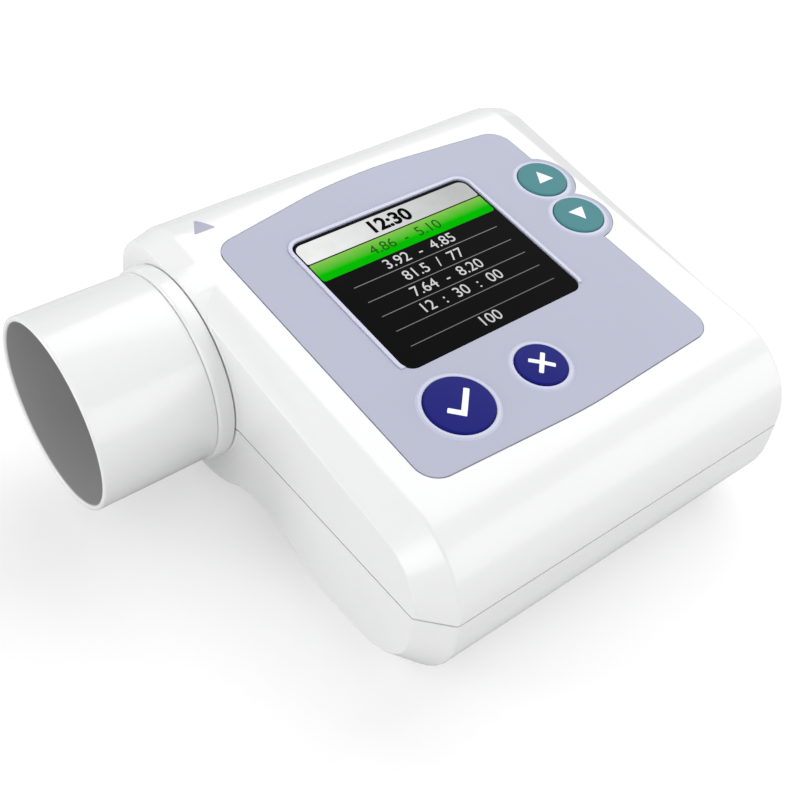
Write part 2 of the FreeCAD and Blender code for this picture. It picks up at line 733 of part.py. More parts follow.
def make_case_screws():
    screws = []
    for x, y, drop in screw_places():
        head = Part.makeCone(num.screw_head, num.screw_head * 0.8, num.head_thickness, Vector(x, y, -drop), -UP)
        shank = Part.makeCylinder(num.screw_radius, drop + num.screw_grip, Vector(x, y, -drop))
        screws.append(head.fuse(shank))
    new_solid("case_screws", Part.makeCompound(screws), case_frame())


def make_board_chips():
    low = -(num.board_depth + num.board_thickness) - num.chip_height
    left = num.chip_x - num.chip_size / 2
    front = num.chip_y - num.chip_size / 2
    chips = [Part.makeBox(num.chip_size, num.chip_size, num.chip_height,
                          Vector(left + index * num.chip_pitch, front, low))
             for index in range(int(num.chip_count))]
    new_solid("board_chips", Part.makeCompound(chips), deck_frame())


def make_battery():
    """A flat cell on the belly's ribs, with rounded upright edges."""
    body = new_body("battery")
    half = size.battery_length / 2
    sketch = sketch_on(body, "XY_Plane", -size.battery_drop)
    draw_box(sketch, -half, size.battery_front, half, size.battery_front + size.battery_depth)
    block = pad(body, sketch, size.battery_height)
    document.recompute()
    round_edges(body, block, upright_edges(block.Shape), size.battery_corner)
    add_piece(body, case_frame())


def make_battery_plug():
    """The battery's plug under the board, with a shelf at its rear."""
    body = new_body("battery_plug")
    low = size.board_depth + size.board_thickness
    sketch = sketch_on(body, "YZ_Plane", size.plug_x)
    draw_outline(sketch, [
        (size.plug_y, -low), (size.plug_y, -(low + size.plug_height)),
        (size.plug_y + size.plug_depth, -(low + size.plug_height)),
        (size.plug_y + size.plug_depth, -(low + size.plug_shelf)),
        (size.plug_y + size.plug_depth + size.plug_shelf, -(low + size.plug_shelf)),
        (size.plug_y + size.plug_depth + size.plug_shelf, -low)])
    pad(body, sketch, size.plug_width)
    add_piece(body, deck_frame())


def make_buzzer():
    body = new_body("buzzer")
    low = -(size.board_depth + size.board_thickness)
    can = sketch_on(body, "XY_Plane", low)
    draw_circle(can, size.buzzer_x, size.buzzer_y, size.buzzer_radius)
    pad(body, can, size.buzzer_height, reverse=True)
    document.recompute()
    hole = sketch_on(body, "XY_Plane", low - size.buzzer_height)
    draw_circle(hole, size.buzzer_x, size.buzzer_y, size.buzzer_hole)
    pocket(body, hole, size.buzzer_height / 2, reverse=True)
    add_piece(body, deck_frame())


def make_charging_port():
    """A metal port shell with a tongue inside, open at the right side."""
    body = new_body("charging_port")
    top = -(size.board_depth + size.board_thickness + size.seat_gap)
    bottom = top - size.port_height
    front = size.port_y - size.port_width / 2
    rear = size.port_y + size.port_width / 2
    back = side_x - size.end_inset - size.port_length
    skin = size.port_shell
    shell = sketch_on(body, "YZ_Plane", back)
    draw_box(shell, front, bottom, rear, top)
    pad(body, shell, size.port_length)
    document.recompute()
    mouth = sketch_on(body, "YZ_Plane", back + size.port_length)
    draw_box(mouth, front + skin, bottom + skin, rear - skin, top - skin)
    pocket(body, mouth, size.port_length - 2 * skin)
    tongue = sketch_on(body, "YZ_Plane", back + skin)
    middle = (bottom + top) / 2
    draw_box(tongue, front + size.port_tongue * 2, middle - size.port_tongue / 2,
             rear - size.port_tongue * 2, middle + size.port_tongue / 2)
    pad(body, tongue, size.port_length - 3 * skin)
    add_piece(body, deck_frame())


# Airway

def turned(name, points):
    """A piece turned about the airway's axis from its (x, radius) outline."""
    body = new_body(name)
    sketch = sketch_on(body, "XZ_Plane")
    draw_outline(sketch, points)
    revolve(body, sketch)
    return body


def make_cartridge():
    """Turbine cartridge: collar and hub, plate, long tube with a seal groove, and two lugs."""
    tube_end = side_x - size.end_inset
    tube_inner = size.cartridge_radius - size.cartridge_wall
    hub_inner = size.hub_radius - size.hub_wall
    groove_inner = size.cartridge_radius - size.seal_depth
    body = turned("turbine_cartridge", [
        (collar_front, hub_inner), (collar_front, size.collar_radius),
        (collar_back, size.collar_radius - size.collar_taper),
        (collar_back, size.hub_radius), (hub_end, size.hub_radius), (hub_end, size.cartridge_radius),
        (seal_x, size.cartridge_radius), (seal_x, groove_inner),
        (seal_x + size.seal_thickness, groove_inner), (seal_x + size.seal_thickness, size.cartridge_radius),
        (tube_end, size.cartridge_radius), (tube_end, tube_inner),
        (hub_end - size.plate_thickness, tube_inner), (hub_end - size.plate_thickness, hub_inner)])
    document.recompute()
    lug = sketch_on(body, "YZ_Plane", lug_x)
    half_angle = math.radians(num.lug_width / 2)
    reach = size.cartridge_radius + size.lug_height
    root = size.cartridge_radius - size.cartridge_wall / 2
    spread, depth = math.sin(half_angle), math.cos(half_angle)
    draw_outline(lug, [(root * depth, root * -spread), (reach * depth, reach * -spread), (reach, 0),
                       (reach * depth, reach * spread), (root * depth, root * spread)])
    repeat_round(body, pad(body, lug, size.lug_thickness), size.lug_count)
    add_piece(body, airway_frame())


def make_seal_ring():
    gap = size.seat_gap / 2
    inner = size.cartridge_radius - size.seal_depth + gap
    outer = size.cartridge_radius + gap
    left, right = seal_x + gap, seal_x + size.seal_thickness - gap
    edge = size.seal_thickness / 4
    body = turned("seal_ring", [
        (left, inner), (right, inner), (right, outer - edge), (right - edge, outer),
        (left + edge, outer), (left, outer - edge)])
    add_piece(body, airway_frame())


def make_mouthpiece():
    """Mouthpiece tube: straight at the mouth, tapered to a spigot in the cartridge's hub."""
    spigot = size.hub_radius - size.hub_wall - size.seat_gap
    spigot_end = hub_end - size.plate_thickness - size.body_gap
    root = collar_front - size.seat_gap
    body = turned("mouthpiece_tube", [
        (mouth_x, size.tube_radius - size.tube_wall), (mouth_x, size.tube_radius),
        (mouth_x + size.mouth_length, size.tube_radius), (root, size.tube_root_radius),
        (root, spigot), (spigot_end, spigot), (spigot_end, spigot - size.spigot_wall),
        (mouth_x + size.socket_length, size.tube_radius - size.tube_wall)])
    add_piece(body, airway_frame())


def make_stator(name, middle, sweep):
    """A swirl ring: hub, outer ring and slanted vanes, bored for its bearing."""
    body = new_body(name)
    start = middle - size.stator_length / 2
    end = middle + size.stator_length / 2
    outer = size.cartridge_radius - size.cartridge_wall - size.seat_gap
    inner = outer - size.stator_ring
    rings = sketch_on(body, "YZ_Plane", start)
    draw_circle(rings, 0, 0, outer)
    draw_circle(rings, 0, 0, inner)
    pad(body, rings, size.stator_length)
    half = size.vane_thickness / 2
    vane = sketch_on(body, "XY_Plane", size.stator_hub_radius - size.vane_thickness)
    draw_outline(vane, [(start, -sweep - half), (start, half - sweep), (end, sweep + half), (end, sweep - half)])
    vane_length = inner + size.stator_ring / 2 - size.stator_hub_radius + size.vane_thickness
    repeat_round(body, pad(body, vane, vane_length), size.vane_count)
    hub = sketch_on(body, "YZ_Plane", start)
    draw_circle(hub, 0, 0, size.stator_hub_radius)
    body.Tip = pad(body, hub, size.stator_length)
    document.recompute()
    inward = end if middle.value < 0 else start
    seat = sketch_on(body, "YZ_Plane", inward)
    draw_circle(seat, 0, 0, size.bearing_radius + size.seat_gap)
    pocket(body, seat, size.bearing_length, reverse=middle.value > 0)
    add_piece(body, airway_frame())


def bearing_mouth():
    """How far from the middle each bearing's inner face lies."""
    return size.stator_offset - size.stator_length / 2


def make_bearings():
    """Two jewel cups that hold the rotor's pivots."""
    mouth = bearing_mouth().value
    cups = []
    for side in (-1, 1):
        along = ACROSS * side
        cup = Part.makeCylinder(num.bearing_radius, num.bearing_length - num.seat_gap, along * mouth, along)
        hole = Part.makeCylinder(num.shaft_radius + num.running_clearance / 2, num.bearing_length - num.bearing_floor,
                                 along * mouth, along)
        cups.append(cup.cut(hole))
    new_solid("rotor_bearings", Part.makeCompound(cups), airway_frame())


def make_rotor():
    """A flat vane on a thin shaft that runs in the two jewel cups."""
    body = new_body("rotor")
    shaft_end = bearing_mouth() + size.bearing_length - size.bearing_floor - size.running_clearance
    shaft = sketch_on(body, "YZ_Plane", -shaft_end)
    draw_circle(shaft, 0, 0, size.shaft_radius)
    pad(body, shaft, shaft_end * 2)
    reach = size.cartridge_radius - size.cartridge_wall - size.blade_clearance
    half_length = bearing_mouth() - size.body_gap
    blade = sketch_on(body, "XY_Plane", size.blade_thickness / -2)
    draw_outline(blade, [
        (-half_length, -reach), (half_length, -reach), (half_length, reach), (-half_length, reach)])
    pad(body, blade, size.blade_thickness)
    add_piece(body, airway_frame())


def make_sensor(name, side):
    """A round light sensor in the channel's wall, with a flange outside it."""
    channel = cartridge_bore + size.channel_wall
    body = new_body(name)
    sketch = sketch_on(body, "XY_Plane")
    inner = cartridge_bore + size.body_gap
    flange = channel + size.seat_gap
    outer = flange + size.sensor_tab
    draw_outline(sketch, [
        (0, inner * side), (size.sensor_radius, inner * side), (size.sensor_radius, flange * side),
        (size.sensor_flange, flange * side), (size.sensor_flange, outer * side), (0, outer * side)])
    revolve(body, sketch, "V_Axis")
    add_piece(body, airway_frame())


def make_pieces():
    make_casing()
    make_overlay()
    make_display_window()
    make_display_module()
    for name, x, y, radius in buttons():
        make_button(name, x, y, radius)
    make_snap_domes()
    make_main_board()
    make_board_screws()
    make_case_screws()
    make_board_chips()
    make_battery()
    make_battery_plug()
    make_buzzer()
    make_charging_port()
    make_cartridge()
    make_seal_ring()
    make_mouthpiece()
    make_stator("front_stator", -size.stator_offset, size.vane_sweep / 2)
    make_stator("rear_stator", size.stator_offset, size.vane_sweep / -2)
    make_bearings()
    make_rotor()
    make_sensor("light_sender", -1)
    make_sensor("light_receiver", 1)


def check_pieces():
    """Stop if an object failed or a piece's solids aren't sound."""
    for item in document.Objects:
        if {"Invalid", "Error"} & set(item.State):
            raise ValueError(f"{item.Name} failed: {item.State}")
    for piece in pieces:
        if piece.Shape.isNull() or not piece.Shape.isValid() or not piece.Shape.Solids:
            raise ValueError(f"{piece.Label} isn't a sound solid")


make_pieces()
document.recompute()
check_pieces()
os.makedirs("parts", exist_ok=True)
for piece in pieces:
    piece.Shape.exportStep(f"parts/{piece.Label}.step")
    box = piece.Shape.BoundBox
    print(piece.Label, len(piece.Shape.Solids), f"{piece.Shape.Volume:.1f}",
          f"x {box.XMin:.2f} {box.XMax:.2f} y {box.YMin:.2f} {box.YMax:.2f} z {box.ZMin:.2f} {box.ZMax:.2f}")
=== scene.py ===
import math

import bmesh
import bpy
from bpy.props import FloatProperty, FloatVectorProperty
from mathutils import Matrix, Vector


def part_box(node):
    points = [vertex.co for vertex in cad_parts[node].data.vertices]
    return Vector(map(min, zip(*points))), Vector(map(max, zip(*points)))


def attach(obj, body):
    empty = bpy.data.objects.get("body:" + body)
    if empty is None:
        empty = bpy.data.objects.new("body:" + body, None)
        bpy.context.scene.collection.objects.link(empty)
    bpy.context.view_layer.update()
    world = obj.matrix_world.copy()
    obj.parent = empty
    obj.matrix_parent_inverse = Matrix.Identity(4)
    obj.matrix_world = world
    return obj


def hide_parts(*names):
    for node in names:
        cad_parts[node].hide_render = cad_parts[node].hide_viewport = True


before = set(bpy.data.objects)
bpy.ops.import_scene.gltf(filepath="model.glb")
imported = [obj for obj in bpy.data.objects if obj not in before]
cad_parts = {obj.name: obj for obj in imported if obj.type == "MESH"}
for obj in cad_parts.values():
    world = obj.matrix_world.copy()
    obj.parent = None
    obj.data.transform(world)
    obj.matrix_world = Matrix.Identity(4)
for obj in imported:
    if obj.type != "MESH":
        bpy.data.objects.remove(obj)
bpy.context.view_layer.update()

bl_info = {
    "name": "Handheld Spirometer",
    "version": (1, 0, 0),
    "blender": (4, 5, 0),
    "location": "View3D > Sidebar > Spirometer",
    "description": "Builds the visible pieces of a handheld spirometer round its fixed frame",
    "category": "Object",
}

# Everything is in metres, in the frame of the packed model. Case coordinates: x across from the
# casing's middle, y back from its front tip, z up from the parting plane. Deck coordinates: x across,
# y up the slope, z out of the deck.

MM = 0.001
ROUND_STEPS = 96
TUBE_STEPS = 128
SCREW_STEPS = 48
PROFILE = 0.5
OWN_MATERIAL = -1
WINDOW_ROOM = 0.1 * MM
KEY_ROOM = 0.35 * MM
BED_ROOM = 0.22 * MM
BORE_ROOM = 0.08 * MM
PORT_ROOM = 0.1 * MM
POST_RADIUS = 2.8 * MM
HEAD_BORE = 2.15 * MM
SHANK_BORE = 1.05 * MM
MARK_DEPTH = 0.9 * MM
MARK_BED_DEPTH = 0.92 * MM
SINK = 0.02 * MM
PICTURE_RISE = 0.03 * MM
DIGIT_SHARE = 0.73
FLOOR_REACH = 3
VIEW_REACH = 10
SENSOR_WIDTH = 36
CASING_LOW, CASING_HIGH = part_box("bottom_shell")
TUBE_LOW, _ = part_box("mouthpiece_tube")


def length(name, description, default):
    """A size in metres that a user can change."""
    return FloatProperty(name=name, description=description, default=default, unit="LENGTH", precision=5)


def place(name, description, default):
    """A place on the deck, across and up the slope."""
    return FloatVectorProperty(name=name, description=description, default=default, size=2,
                               unit="LENGTH", precision=5)


def tint(name, description, default):
    """A colour that a user can change."""
    return FloatVectorProperty(name=name, description=description, default=default, size=3,
                               subtype="COLOR", min=0, max=1)


def angle(name, description, degrees):
    """An angle that a user can change."""
    return FloatProperty(name=name, description=description, default=math.radians(degrees), subtype="ANGLE")


def level(name, description, default):
    """A plain number that a user can change."""
    return FloatProperty(name=name, description=description, default=default)


class CasingSizes(bpy.types.PropertyGroup):
    """Sizes of the two moulded shells."""
    width: length("Width", "Casing width between its side faces", 89 * MM)
    depth: length("Depth", "Casing depth from its nose to its rear", CASING_HIGH.y - CASING_LOW.y)
    wall: length("Wall", "Thickness of the moulded wall", 2 * MM)
    rest_drop: length("Lower shell", "Height of the parting plane over the ground", 22 * MM)
    parting_gap: length("Parting gap", "Width of the line between the shells", 0.36 * MM)
    bevel_across: length("Bevel across", "Width of the band round each side face", 4.9 * MM)
    bevel_front: length("Bevel at the front", "Depth of the band at the nose", 5.4 * MM)
    bevel_rear: length("Bevel at the rear", "Depth of the band at the rear", 0.8 * MM)
    face_ridge: length("Face ridge", "Rounding between a side face and its band", 0.18 * MM)
    deck_ridge: length("Deck ridge", "Rounding between the band and the deck", 0.45 * MM)
    edge_softness: length("Edge softness", "Rounding where the shells and openings end", 0.12 * MM)
    deck_front: length("Deck front", "Height of the deck's plane over the parting plane at the nose", 15 * MM)
    deck_tilt: angle("Deck tilt", "Slope of the deck", 5.5)
    boss_radius: length("Boss radius", "Radius of the round boss that takes the cartridge", 19.3 * MM)
    boss_reach: length("Boss reach", "How far the boss stands out of the side face", 0.15 * MM)
    boss_flare: length("Boss flare", "How much the boss widens towards the casing's middle", 1 * MM)
    boss_depth: length("Boss depth", "Length of the solid boss round the hub", 9 * MM)
    boss_edge: length("Boss edge", "Rounding of the boss's rim", 0.3 * MM)


class AirwaySizes(bpy.types.PropertyGroup):
    """Sizes of the cartridge and the mouthpiece tube."""
    axis_back: length("Axis back", "Distance of the axis from the casing's rear", 21 * MM)
    axis_height: length("Axis height", "Height of the axis over the parting plane", 2.4 * MM)
    tube_radius: length("Tube radius", "Outer radius of the mouthpiece", 18.4 * MM)
    tube_wall: length("Tube wall", "Wall of the mouthpiece at its mouth", 1 * MM)
    tube_root: length("Tube root", "Outer radius where the mouthpiece meets the collar", 18.3 * MM)
    mouth_length: length("Mouth length", "Length of the mouthpiece's straight end", 12 * MM)
    socket_length: length("Socket length", "Depth of the mouthpiece's straight bore", 15 * MM)
    lip: length("Lip", "Rounding of the mouthpiece's lip", 0.45 * MM)
    collar_radius: length("Collar radius", "Radius of the cartridge's collar", 18.9 * MM)
    collar_front: length("Collar front", "Distance of the collar's front from the side face", 3.5 * MM)
    collar_gap: length("Collar gap", "Gap between the collar and the boss", 0.2 * MM)
    hub_depth: length("Hub depth", "How deep the hub reaches into the side face", 3.4 * MM)
    hub_radius: length("Hub radius", "Outer radius of the cartridge's hub", 17.4 * MM)
    cartridge_radius: length("Cartridge radius", "Outer radius of the turbine's tube", 12 * MM)
    cartridge_wall: length("Cartridge wall", "Wall of the turbine's tube", 1.2 * MM)


class DeckSizes(bpy.types.PropertyGroup):
    """Places and sizes on the sloping deck."""
    window_place: place("Window", "Middle of the display window", (-2.4 * MM, 53.3 * MM))
    window_size: place("Window size", "Width and height of the display window", (41.6 * MM, 35.6 * MM))
    window_corner: length("Window corner", "Corner radius of the display window", 2.4 * MM)
    confirm_place: place("Confirm key", "Middle of the large blue key", (-20.6 * MM, 25.2 * MM))
    confirm_radius: length("Confirm radius", "Radius of the large blue key", 6.2 * MM)
    cancel_place: place("Cancel key", "Middle of the small blue key", (-2.3 * MM, 24.8 * MM))
    cancel_radius: length("Cancel radius", "Radius of the small blue key", 4.75 * MM)
    up_place: place("Up key", "Middle of the upper teal key", (32.5 * MM, 62.4 * MM))
    down_place: place("Down key", "Middle of the lower teal key", (31.6 * MM, 50.7 * MM))
    arrow_radius: length("Arrow radius", "Radius of the teal keys", 5 * MM)
    lobe_radius: length("Lobe radius", "Radius of the overlay round a teal key", 6.8 * MM)
    overlay_low: place("Overlay low", "Lower left corner of the overlay", (-34.9 * MM, 15.2 * MM))
    overlay_high: place("Overlay high", "Upper right corner of the overlay", (32 * MM, 78.2 * MM))
    overlay_top_right: length("Overlay top right", "How far right the overlay's top reaches", 35.2 * MM)
    overlay_corner: length("Overlay corner", "Corner radius of the overlay", 4.2 * MM)
    crown_low: length("Lower crown", "Bow of the overlay's lower edge", 1.6 * MM)
    crown_high: length("Upper crown", "Bow of the overlay's upper edge", 4.4 * MM)
    recess: length("Recess", "Depth of the overlay's bed in the deck", 0.4 * MM)
    overlay_thickness: length("Overlay thickness", "Thickness of the overlay", 0.5 * MM)
    rim_width: length("Window rim", "Width of the raised rim round the window", 0.8 * MM)
    ring_width: length("Key ring", "Width of the raised ring round a key", 1.1 * MM)
    rim_height: length("Rim height", "Height of the raised rims", 0.28 * MM)
    key_proud: length("Key height", "How far a key's edge stands over the deck", 0.7 * MM)
    key_edge: length("Key edge", "Rounding of a key's edge", 0.3 * MM)
    key_crown: length("Key crown", "How far a key's middle stands over its edge", 0.25 * MM)
    mark_place: place("Mark", "Middle of the alignment mark", (-33.8 * MM, 83.2 * MM))
    mark_radius: length("Mark radius", "Size of the alignment mark", 2.6 * MM)


class Finishes(bpy.types.PropertyGroup):
    """Colours of the pieces."""
    casing: tint("Casing", "Glossy white of the shells", (0.83, 0.832, 0.838))
    tube: tint("Tube", "Glossy white of the mouthpiece", (0.83, 0.832, 0.835))
    # The mouthpiece is white plastic all through. This darker grey is painted shade that stands in for the
    # shade inside the tube.
    bore: tint("Bore", "Grey inside the mouthpiece", (0.42, 0.42, 0.422))
    overlay: tint("Overlay", "Lilac grey of the keypad overlay", (0.45, 0.47, 0.578))
    # The rims are the overlay's own embossed film. This lighter lilac is a lit copy of the overlay colour,
    # painted highlight where the raised rims catch the light.
    rim: tint("Rim", "Pale rims on the overlay", (0.54, 0.56, 0.7))
    blue_key: tint("Blue keys", "Deep blue of the two lower keys", (0.005, 0.007, 0.175))
    teal_key: tint("Teal keys", "Teal of the two arrow keys", (0.06, 0.23, 0.25))
    glass: tint("Display", "Black of the display", (0.001, 0.001, 0.001))
    mark: tint("Mark", "Grey lilac of the alignment mark", (0.38, 0.38, 0.5))


class StageSettings(bpy.types.PropertyGroup):
    """The camera, the floor and the lights."""
    azimuth: angle("Azimuth", "Direction of the camera", -43.122)
    elevation: angle("Elevation", "Height angle of the camera", 44.286)
    roll: angle("Roll", "Turn of the camera about its view", 6.498)
    distance: length("Distance", "How far the camera is from its aim", 226.834 * MM)
    aim: FloatVectorProperty(name="Aim", description="Point that the camera's distance is taken from",
                             default=(13 * MM, -10.98 * MM, 22 * MM), size=3, unit="LENGTH", precision=5)
    shift: place("Aim offset", "Where that point lies in the camera's own frame", (17.261 * MM, 1.271 * MM))
    lens: level("Lens", "Focal length for a 36 mm sensor, in millimetres", 54.245)
    key_power: level("Key light", "Power of the large top light, in watts", 3.0)
    fill_power: level("Fill light", "Power of the side light, in watts", 2.2)
    front_power: level("Front light", "Power of the front light, in watts", 3.9)
    rim_power: level("Rim light", "Power of the upright back light, in watts", 1.2)
    world_level: level("World", "Brightness of the surroundings", 0.54)
    floor_lift: level("Floor lift", "White added to the floor for the camera", 0.42)


# Frames and small helpers

def scene_sizes():
    """The four groups of values on the scene."""
    scene = bpy.context.scene
    return scene.spirometer_casing, scene.spirometer_airway, scene.spirometer_deck, scene.spirometer_finishes


def case_origin():
    """The casing's middle, front tip and parting plane in the model's frame."""
    casing = bpy.context.scene.spirometer_casing
    return Vector((CASING_HIGH.x - casing.width / 2, CASING_LOW.y, CASING_LOW.z + casing.rest_drop))


def deck_matrix():
    """From deck coordinates to the model's frame."""
    casing = bpy.context.scene.spirometer_casing
    lift = Matrix.Translation(case_origin() + Vector((0, 0, casing.deck_front)))
    return lift @ Matrix.Rotation(casing.deck_tilt, 4, "X")


def airway_matrix():
    """From a shape turned about z to the airway's axis, which runs along x."""
    casing, airway, _, _ = scene_sizes()
    axis = Vector((0, casing.depth - airway.axis_back, airway.axis_height))
    return Matrix.Translation(case_origin() + axis) @ Matrix.Rotation(math.pi / 2, 4, "Y")


def link_mesh(name, mesh):
    """Put a mesh into the scene as a piece at the origin."""
    piece = bpy.data.objects.new(name, mesh)
    bpy.context.scene.collection.objects.link(piece)
    return piece


def finish_mesh(name, bm, matrix=None):
    """Turn a bmesh into a piece, its place in its mesh and its faces outward."""
    if matrix is not None:
        bmesh.ops.transform(bm, matrix=matrix, verts=bm.verts)
    bmesh.ops.remove_doubles(bm, verts=bm.verts, dist=MM / 500)
    bmesh.ops.recalc_face_normals(bm, faces=bm.faces)
    mesh = bpy.data.meshes.new(name)
    bm.to_mesh(mesh)
    bm.free()
    return link_mesh(name, mesh)


def settle(piece):
    """Keep what the piece's modifiers make in its mesh."""
    graph = bpy.context.evaluated_depsgraph_get()
    made = bpy.data.meshes.new_from_object(piece.evaluated_get(graph))
    piece.modifiers.clear()
    before = piece.data
    piece.data = made
    made.name = piece.name
    bpy.data.meshes.remove(before)


def combine(piece, tool, operation):
    """Cut, join or clip a piece with another, which is used up."""
    modifier = piece.modifiers.new("combine", "BOOLEAN")
    modifier.operation = operation
    modifier.solver = "EXACT"
    modifier.object = tool
    settle(piece)
    bpy.data.objects.remove(tool)


def soften(piece, width, segments=2, angle=30):
    """Round the sharp edges and shade the piece smoothly."""
    modifier = piece.modifiers.new("edge_rounding", "BEVEL")
    modifier.width = width
    modifier.segments = segments
    modifier.limit_method = "ANGLE"
    modifier.angle_limit = math.radians(angle)
    modifier.harden_normals = False
    smooth(piece)


def smooth(piece, angle=35):
    """Smooth shading, with flat faces kept flat."""
    piece.data.shade_smooth()
    piece.data.set_sharp_from_angle(angle=math.radians(angle))
    modifier = piece.modifiers.new("face_weighting", "WEIGHTED_NORMAL")
    modifier.keep_sharp = True


def paint(piece, *materials):
    """Give a piece its materials."""
    piece.data.materials.clear()
    for material in materials:
        piece.data.materials.append(material)


def dress(piece, finish, body, slot, *nodes):
    """Give a piece its finish and seat it on its body."""
    paint(piece, paints.made[finish])
    seat(piece, body, slot, *nodes)


def seat(piece, body, slot, *nodes):
    """Ride a piece on its body and hide the nodes that it stands for; the slot is not used."""
    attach(piece, body)
    if nodes:
        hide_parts(*nodes)


# Shapes

def round_off(bm, geom, offset, segments, affect="EDGES"):
    """Round edges or corners by a bevel."""
    bmesh.ops.bevel(bm, geom=geom, offset=offset, offset_type="OFFSET", affect=affect, segments=segments,
                    profile=PROFILE, material=OWN_MATERIAL, clamp_overlap=False)


def outline_face(corners, segments=10):
    """A flat face through corners (x, y, radius), each rounded by a vertex bevel."""
    bm = bmesh.new()
    verts = [bm.verts.new((x, y, 0)) for x, y, _ in corners]
    bm.faces.new(verts)
    turns = []
    for index, (_, _, radius) in enumerate(corners):
        here = verts[index].co
        arriving = here - verts[index - 1].co
        leaving = verts[(index + 1) % len(verts)].co - here
        turns.append(radius * math.tan(arriving.angle(leaving) / 2))
    for vert, reach in zip(verts, turns):
        if reach > 0:
            round_off(bm, [vert], reach, segments, "VERTICES")
    return bm


def plate(corners, low, high, segments=10):
    """A flat plate with rounded corners, from one height to the other."""
    bm = outline_face(corners, segments)
    bmesh.ops.translate(bm, vec=(0, 0, low), verts=bm.verts)
    raised = bmesh.ops.extrude_face_region(bm, geom=bm.faces[:], use_keep_orig=True)
    top = [item for item in raised["geom"] if isinstance(item, bmesh.types.BMVert)]
    bmesh.ops.translate(bm, vec=(0, 0, high - low), verts=top)
    return bm


def turned(points, steps=ROUND_STEPS):
    """A shape turned about z from a closed outline of (radius, z) points."""
    bm = bmesh.new()
    verts = [bm.verts.new((radius, 0, z)) for radius, z in points]
    edges = [bm.edges.new((one, other)) for one, other in zip(verts, verts[1:] + verts[:1])]
    bmesh.ops.spin(bm, geom=verts + edges, cent=(0, 0, 0), axis=(0, 0, 1), angle=math.tau,
                   steps=steps, use_merge=True, use_duplicate=False)
    return bm


def rounded_points(corners, segments=4):
    """The (radius, z) points of a closed outline with rounded corners."""
    bm = outline_face(corners, segments)
    points = [vert.co.to_2d() for vert in bm.faces[:][0].verts]
    bm.free()
    return points


def cylinder(radius, low, high, steps=ROUND_STEPS):
    """A plain cylinder along z, used to cut or join."""
    bm = bmesh.new()
    bmesh.ops.create_cone(bm, cap_ends=True, cap_tris=False, segments=steps, radius1=radius,
                          radius2=radius, depth=high - low)
    bmesh.ops.translate(bm, vec=(0, 0, (low + high) / 2), verts=bm.verts)
    return bm


def block(low, high):
    """A plain box between two corners, used to cut or clip."""
    bm = bmesh.new()
    bmesh.ops.create_cube(bm, size=1)
    bmesh.ops.scale(bm, vec=high - low, verts=bm.verts)
    bmesh.ops.translate(bm, vec=(low + high) / 2, verts=bm.verts)
    return bm


def inset_corners(corners, inset_at):
    """Move each corner of an anticlockwise outline inwards from both of its edges."""
    moved = []
    for index, (x, y, radius) in enumerate(corners):
        here = Vector((x, y, 0))
        arriving = (here - Vector((*corners[index - 1][:2], 0))).normalized()
        leaving = (Vector((*corners[(index + 1) % len(corners)][:2], 0)) - here).normalized()
        up = Vector((0, 0, 1))
        sides = (up.cross(arriving), up.cross(leaving))
        inset = inset_at(x)
        shift = (sides[0] + sides[1]) * (inset / (1 + sides[0].dot(sides[1])))
        outward = arriving.cross(leaving).z > 0
        moved.append((x + shift.x, y + shift.y, radius - inset if outward else radius + inset))
    return moved


def upright(x):
    """From an outline drawn flat to one that stands in the casing's side view, at a place across it."""
    return Matrix(((0, 0, 1, x), (1, 0, 0, 0), (0, 1, 0, 0), (0, 0, 0, 1)))


def deck_plate(name, corners, low, high, segments=10):
    """A flat plate on the deck, between two heights over it."""
    return finish_mesh(name, plate(corners, low, high, segments), deck_matrix())


def deck_round(name, bm, centre):
    """A turned shape set down on the deck."""
    bmesh.ops.translate(bm, vec=(*centre, 0), verts=bm.verts)
    return finish_mesh(name, bm, deck_matrix())


def window_corners(margin=0.0):
    """Corners (x, y, radius) of the display window, grown by a margin."""
    _, _, deck, _ = scene_sizes()
    middle, span, corner = deck.window_place, deck.window_size, deck.window_corner
    half_x = span[0] / 2 + margin
    half_y = span[1] / 2 + margin
    return [(middle[0] + side_x * half_x, middle[1] + side_y * half_y, corner + margin)
            for side_x, side_y in ((-1, -1), (1, -1), (1, 1), (-1, 1))]


# Casing

def case_corners():
    """The casing's side outline (y, z, radius), anticlockwise from the front."""
    casing, _, _, _ = scene_sizes()
    drop = casing.rest_drop
    waist = -16.5 * MM
    rear = casing.depth
    deck_rear = casing.deck_front + math.tan(casing.deck_tilt) * rear
    belly_end, waist_start, waist_end, heel_start = (rear - setback * MM for setback in (64, 53, 43, 34))
    return [
        (0, -drop, 17 * MM),
        (belly_end, -drop, 14 * MM),
        (waist_start, waist, 18 * MM),
        (waist_end, waist, 10 * MM),
        (heel_start, -drop, 20 * MM),
        (rear, -drop, 20 * MM),
        (rear, deck_rear, 12 * MM),
        (0, casing.deck_front, 15 * MM),
    ]


def end_bevel_at(y):
    """The band round the side faces narrows from the front to the rear."""
    casing = bpy.context.scene.spirometer_casing
    return casing.bevel_front + (casing.bevel_rear - casing.bevel_front) * y / casing.depth


def add_section(bm, corners, x):
    """Stand a side outline up at a place across the casing, and give its edges."""
    section = outline_face(corners)
    bmesh.ops.transform(section, matrix=upright(x), verts=section.verts)
    bmesh.ops.delete(section, geom=section.faces[:], context="FACES_ONLY")
    scratch = bpy.data.meshes.new("section")
    section.to_mesh(scratch)
    section.free()
    before = len(bm.edges)
    bm.from_mesh(scratch)
    bpy.data.meshes.remove(scratch)
    bm.edges.ensure_lookup_table()
    return bm.edges[before:]


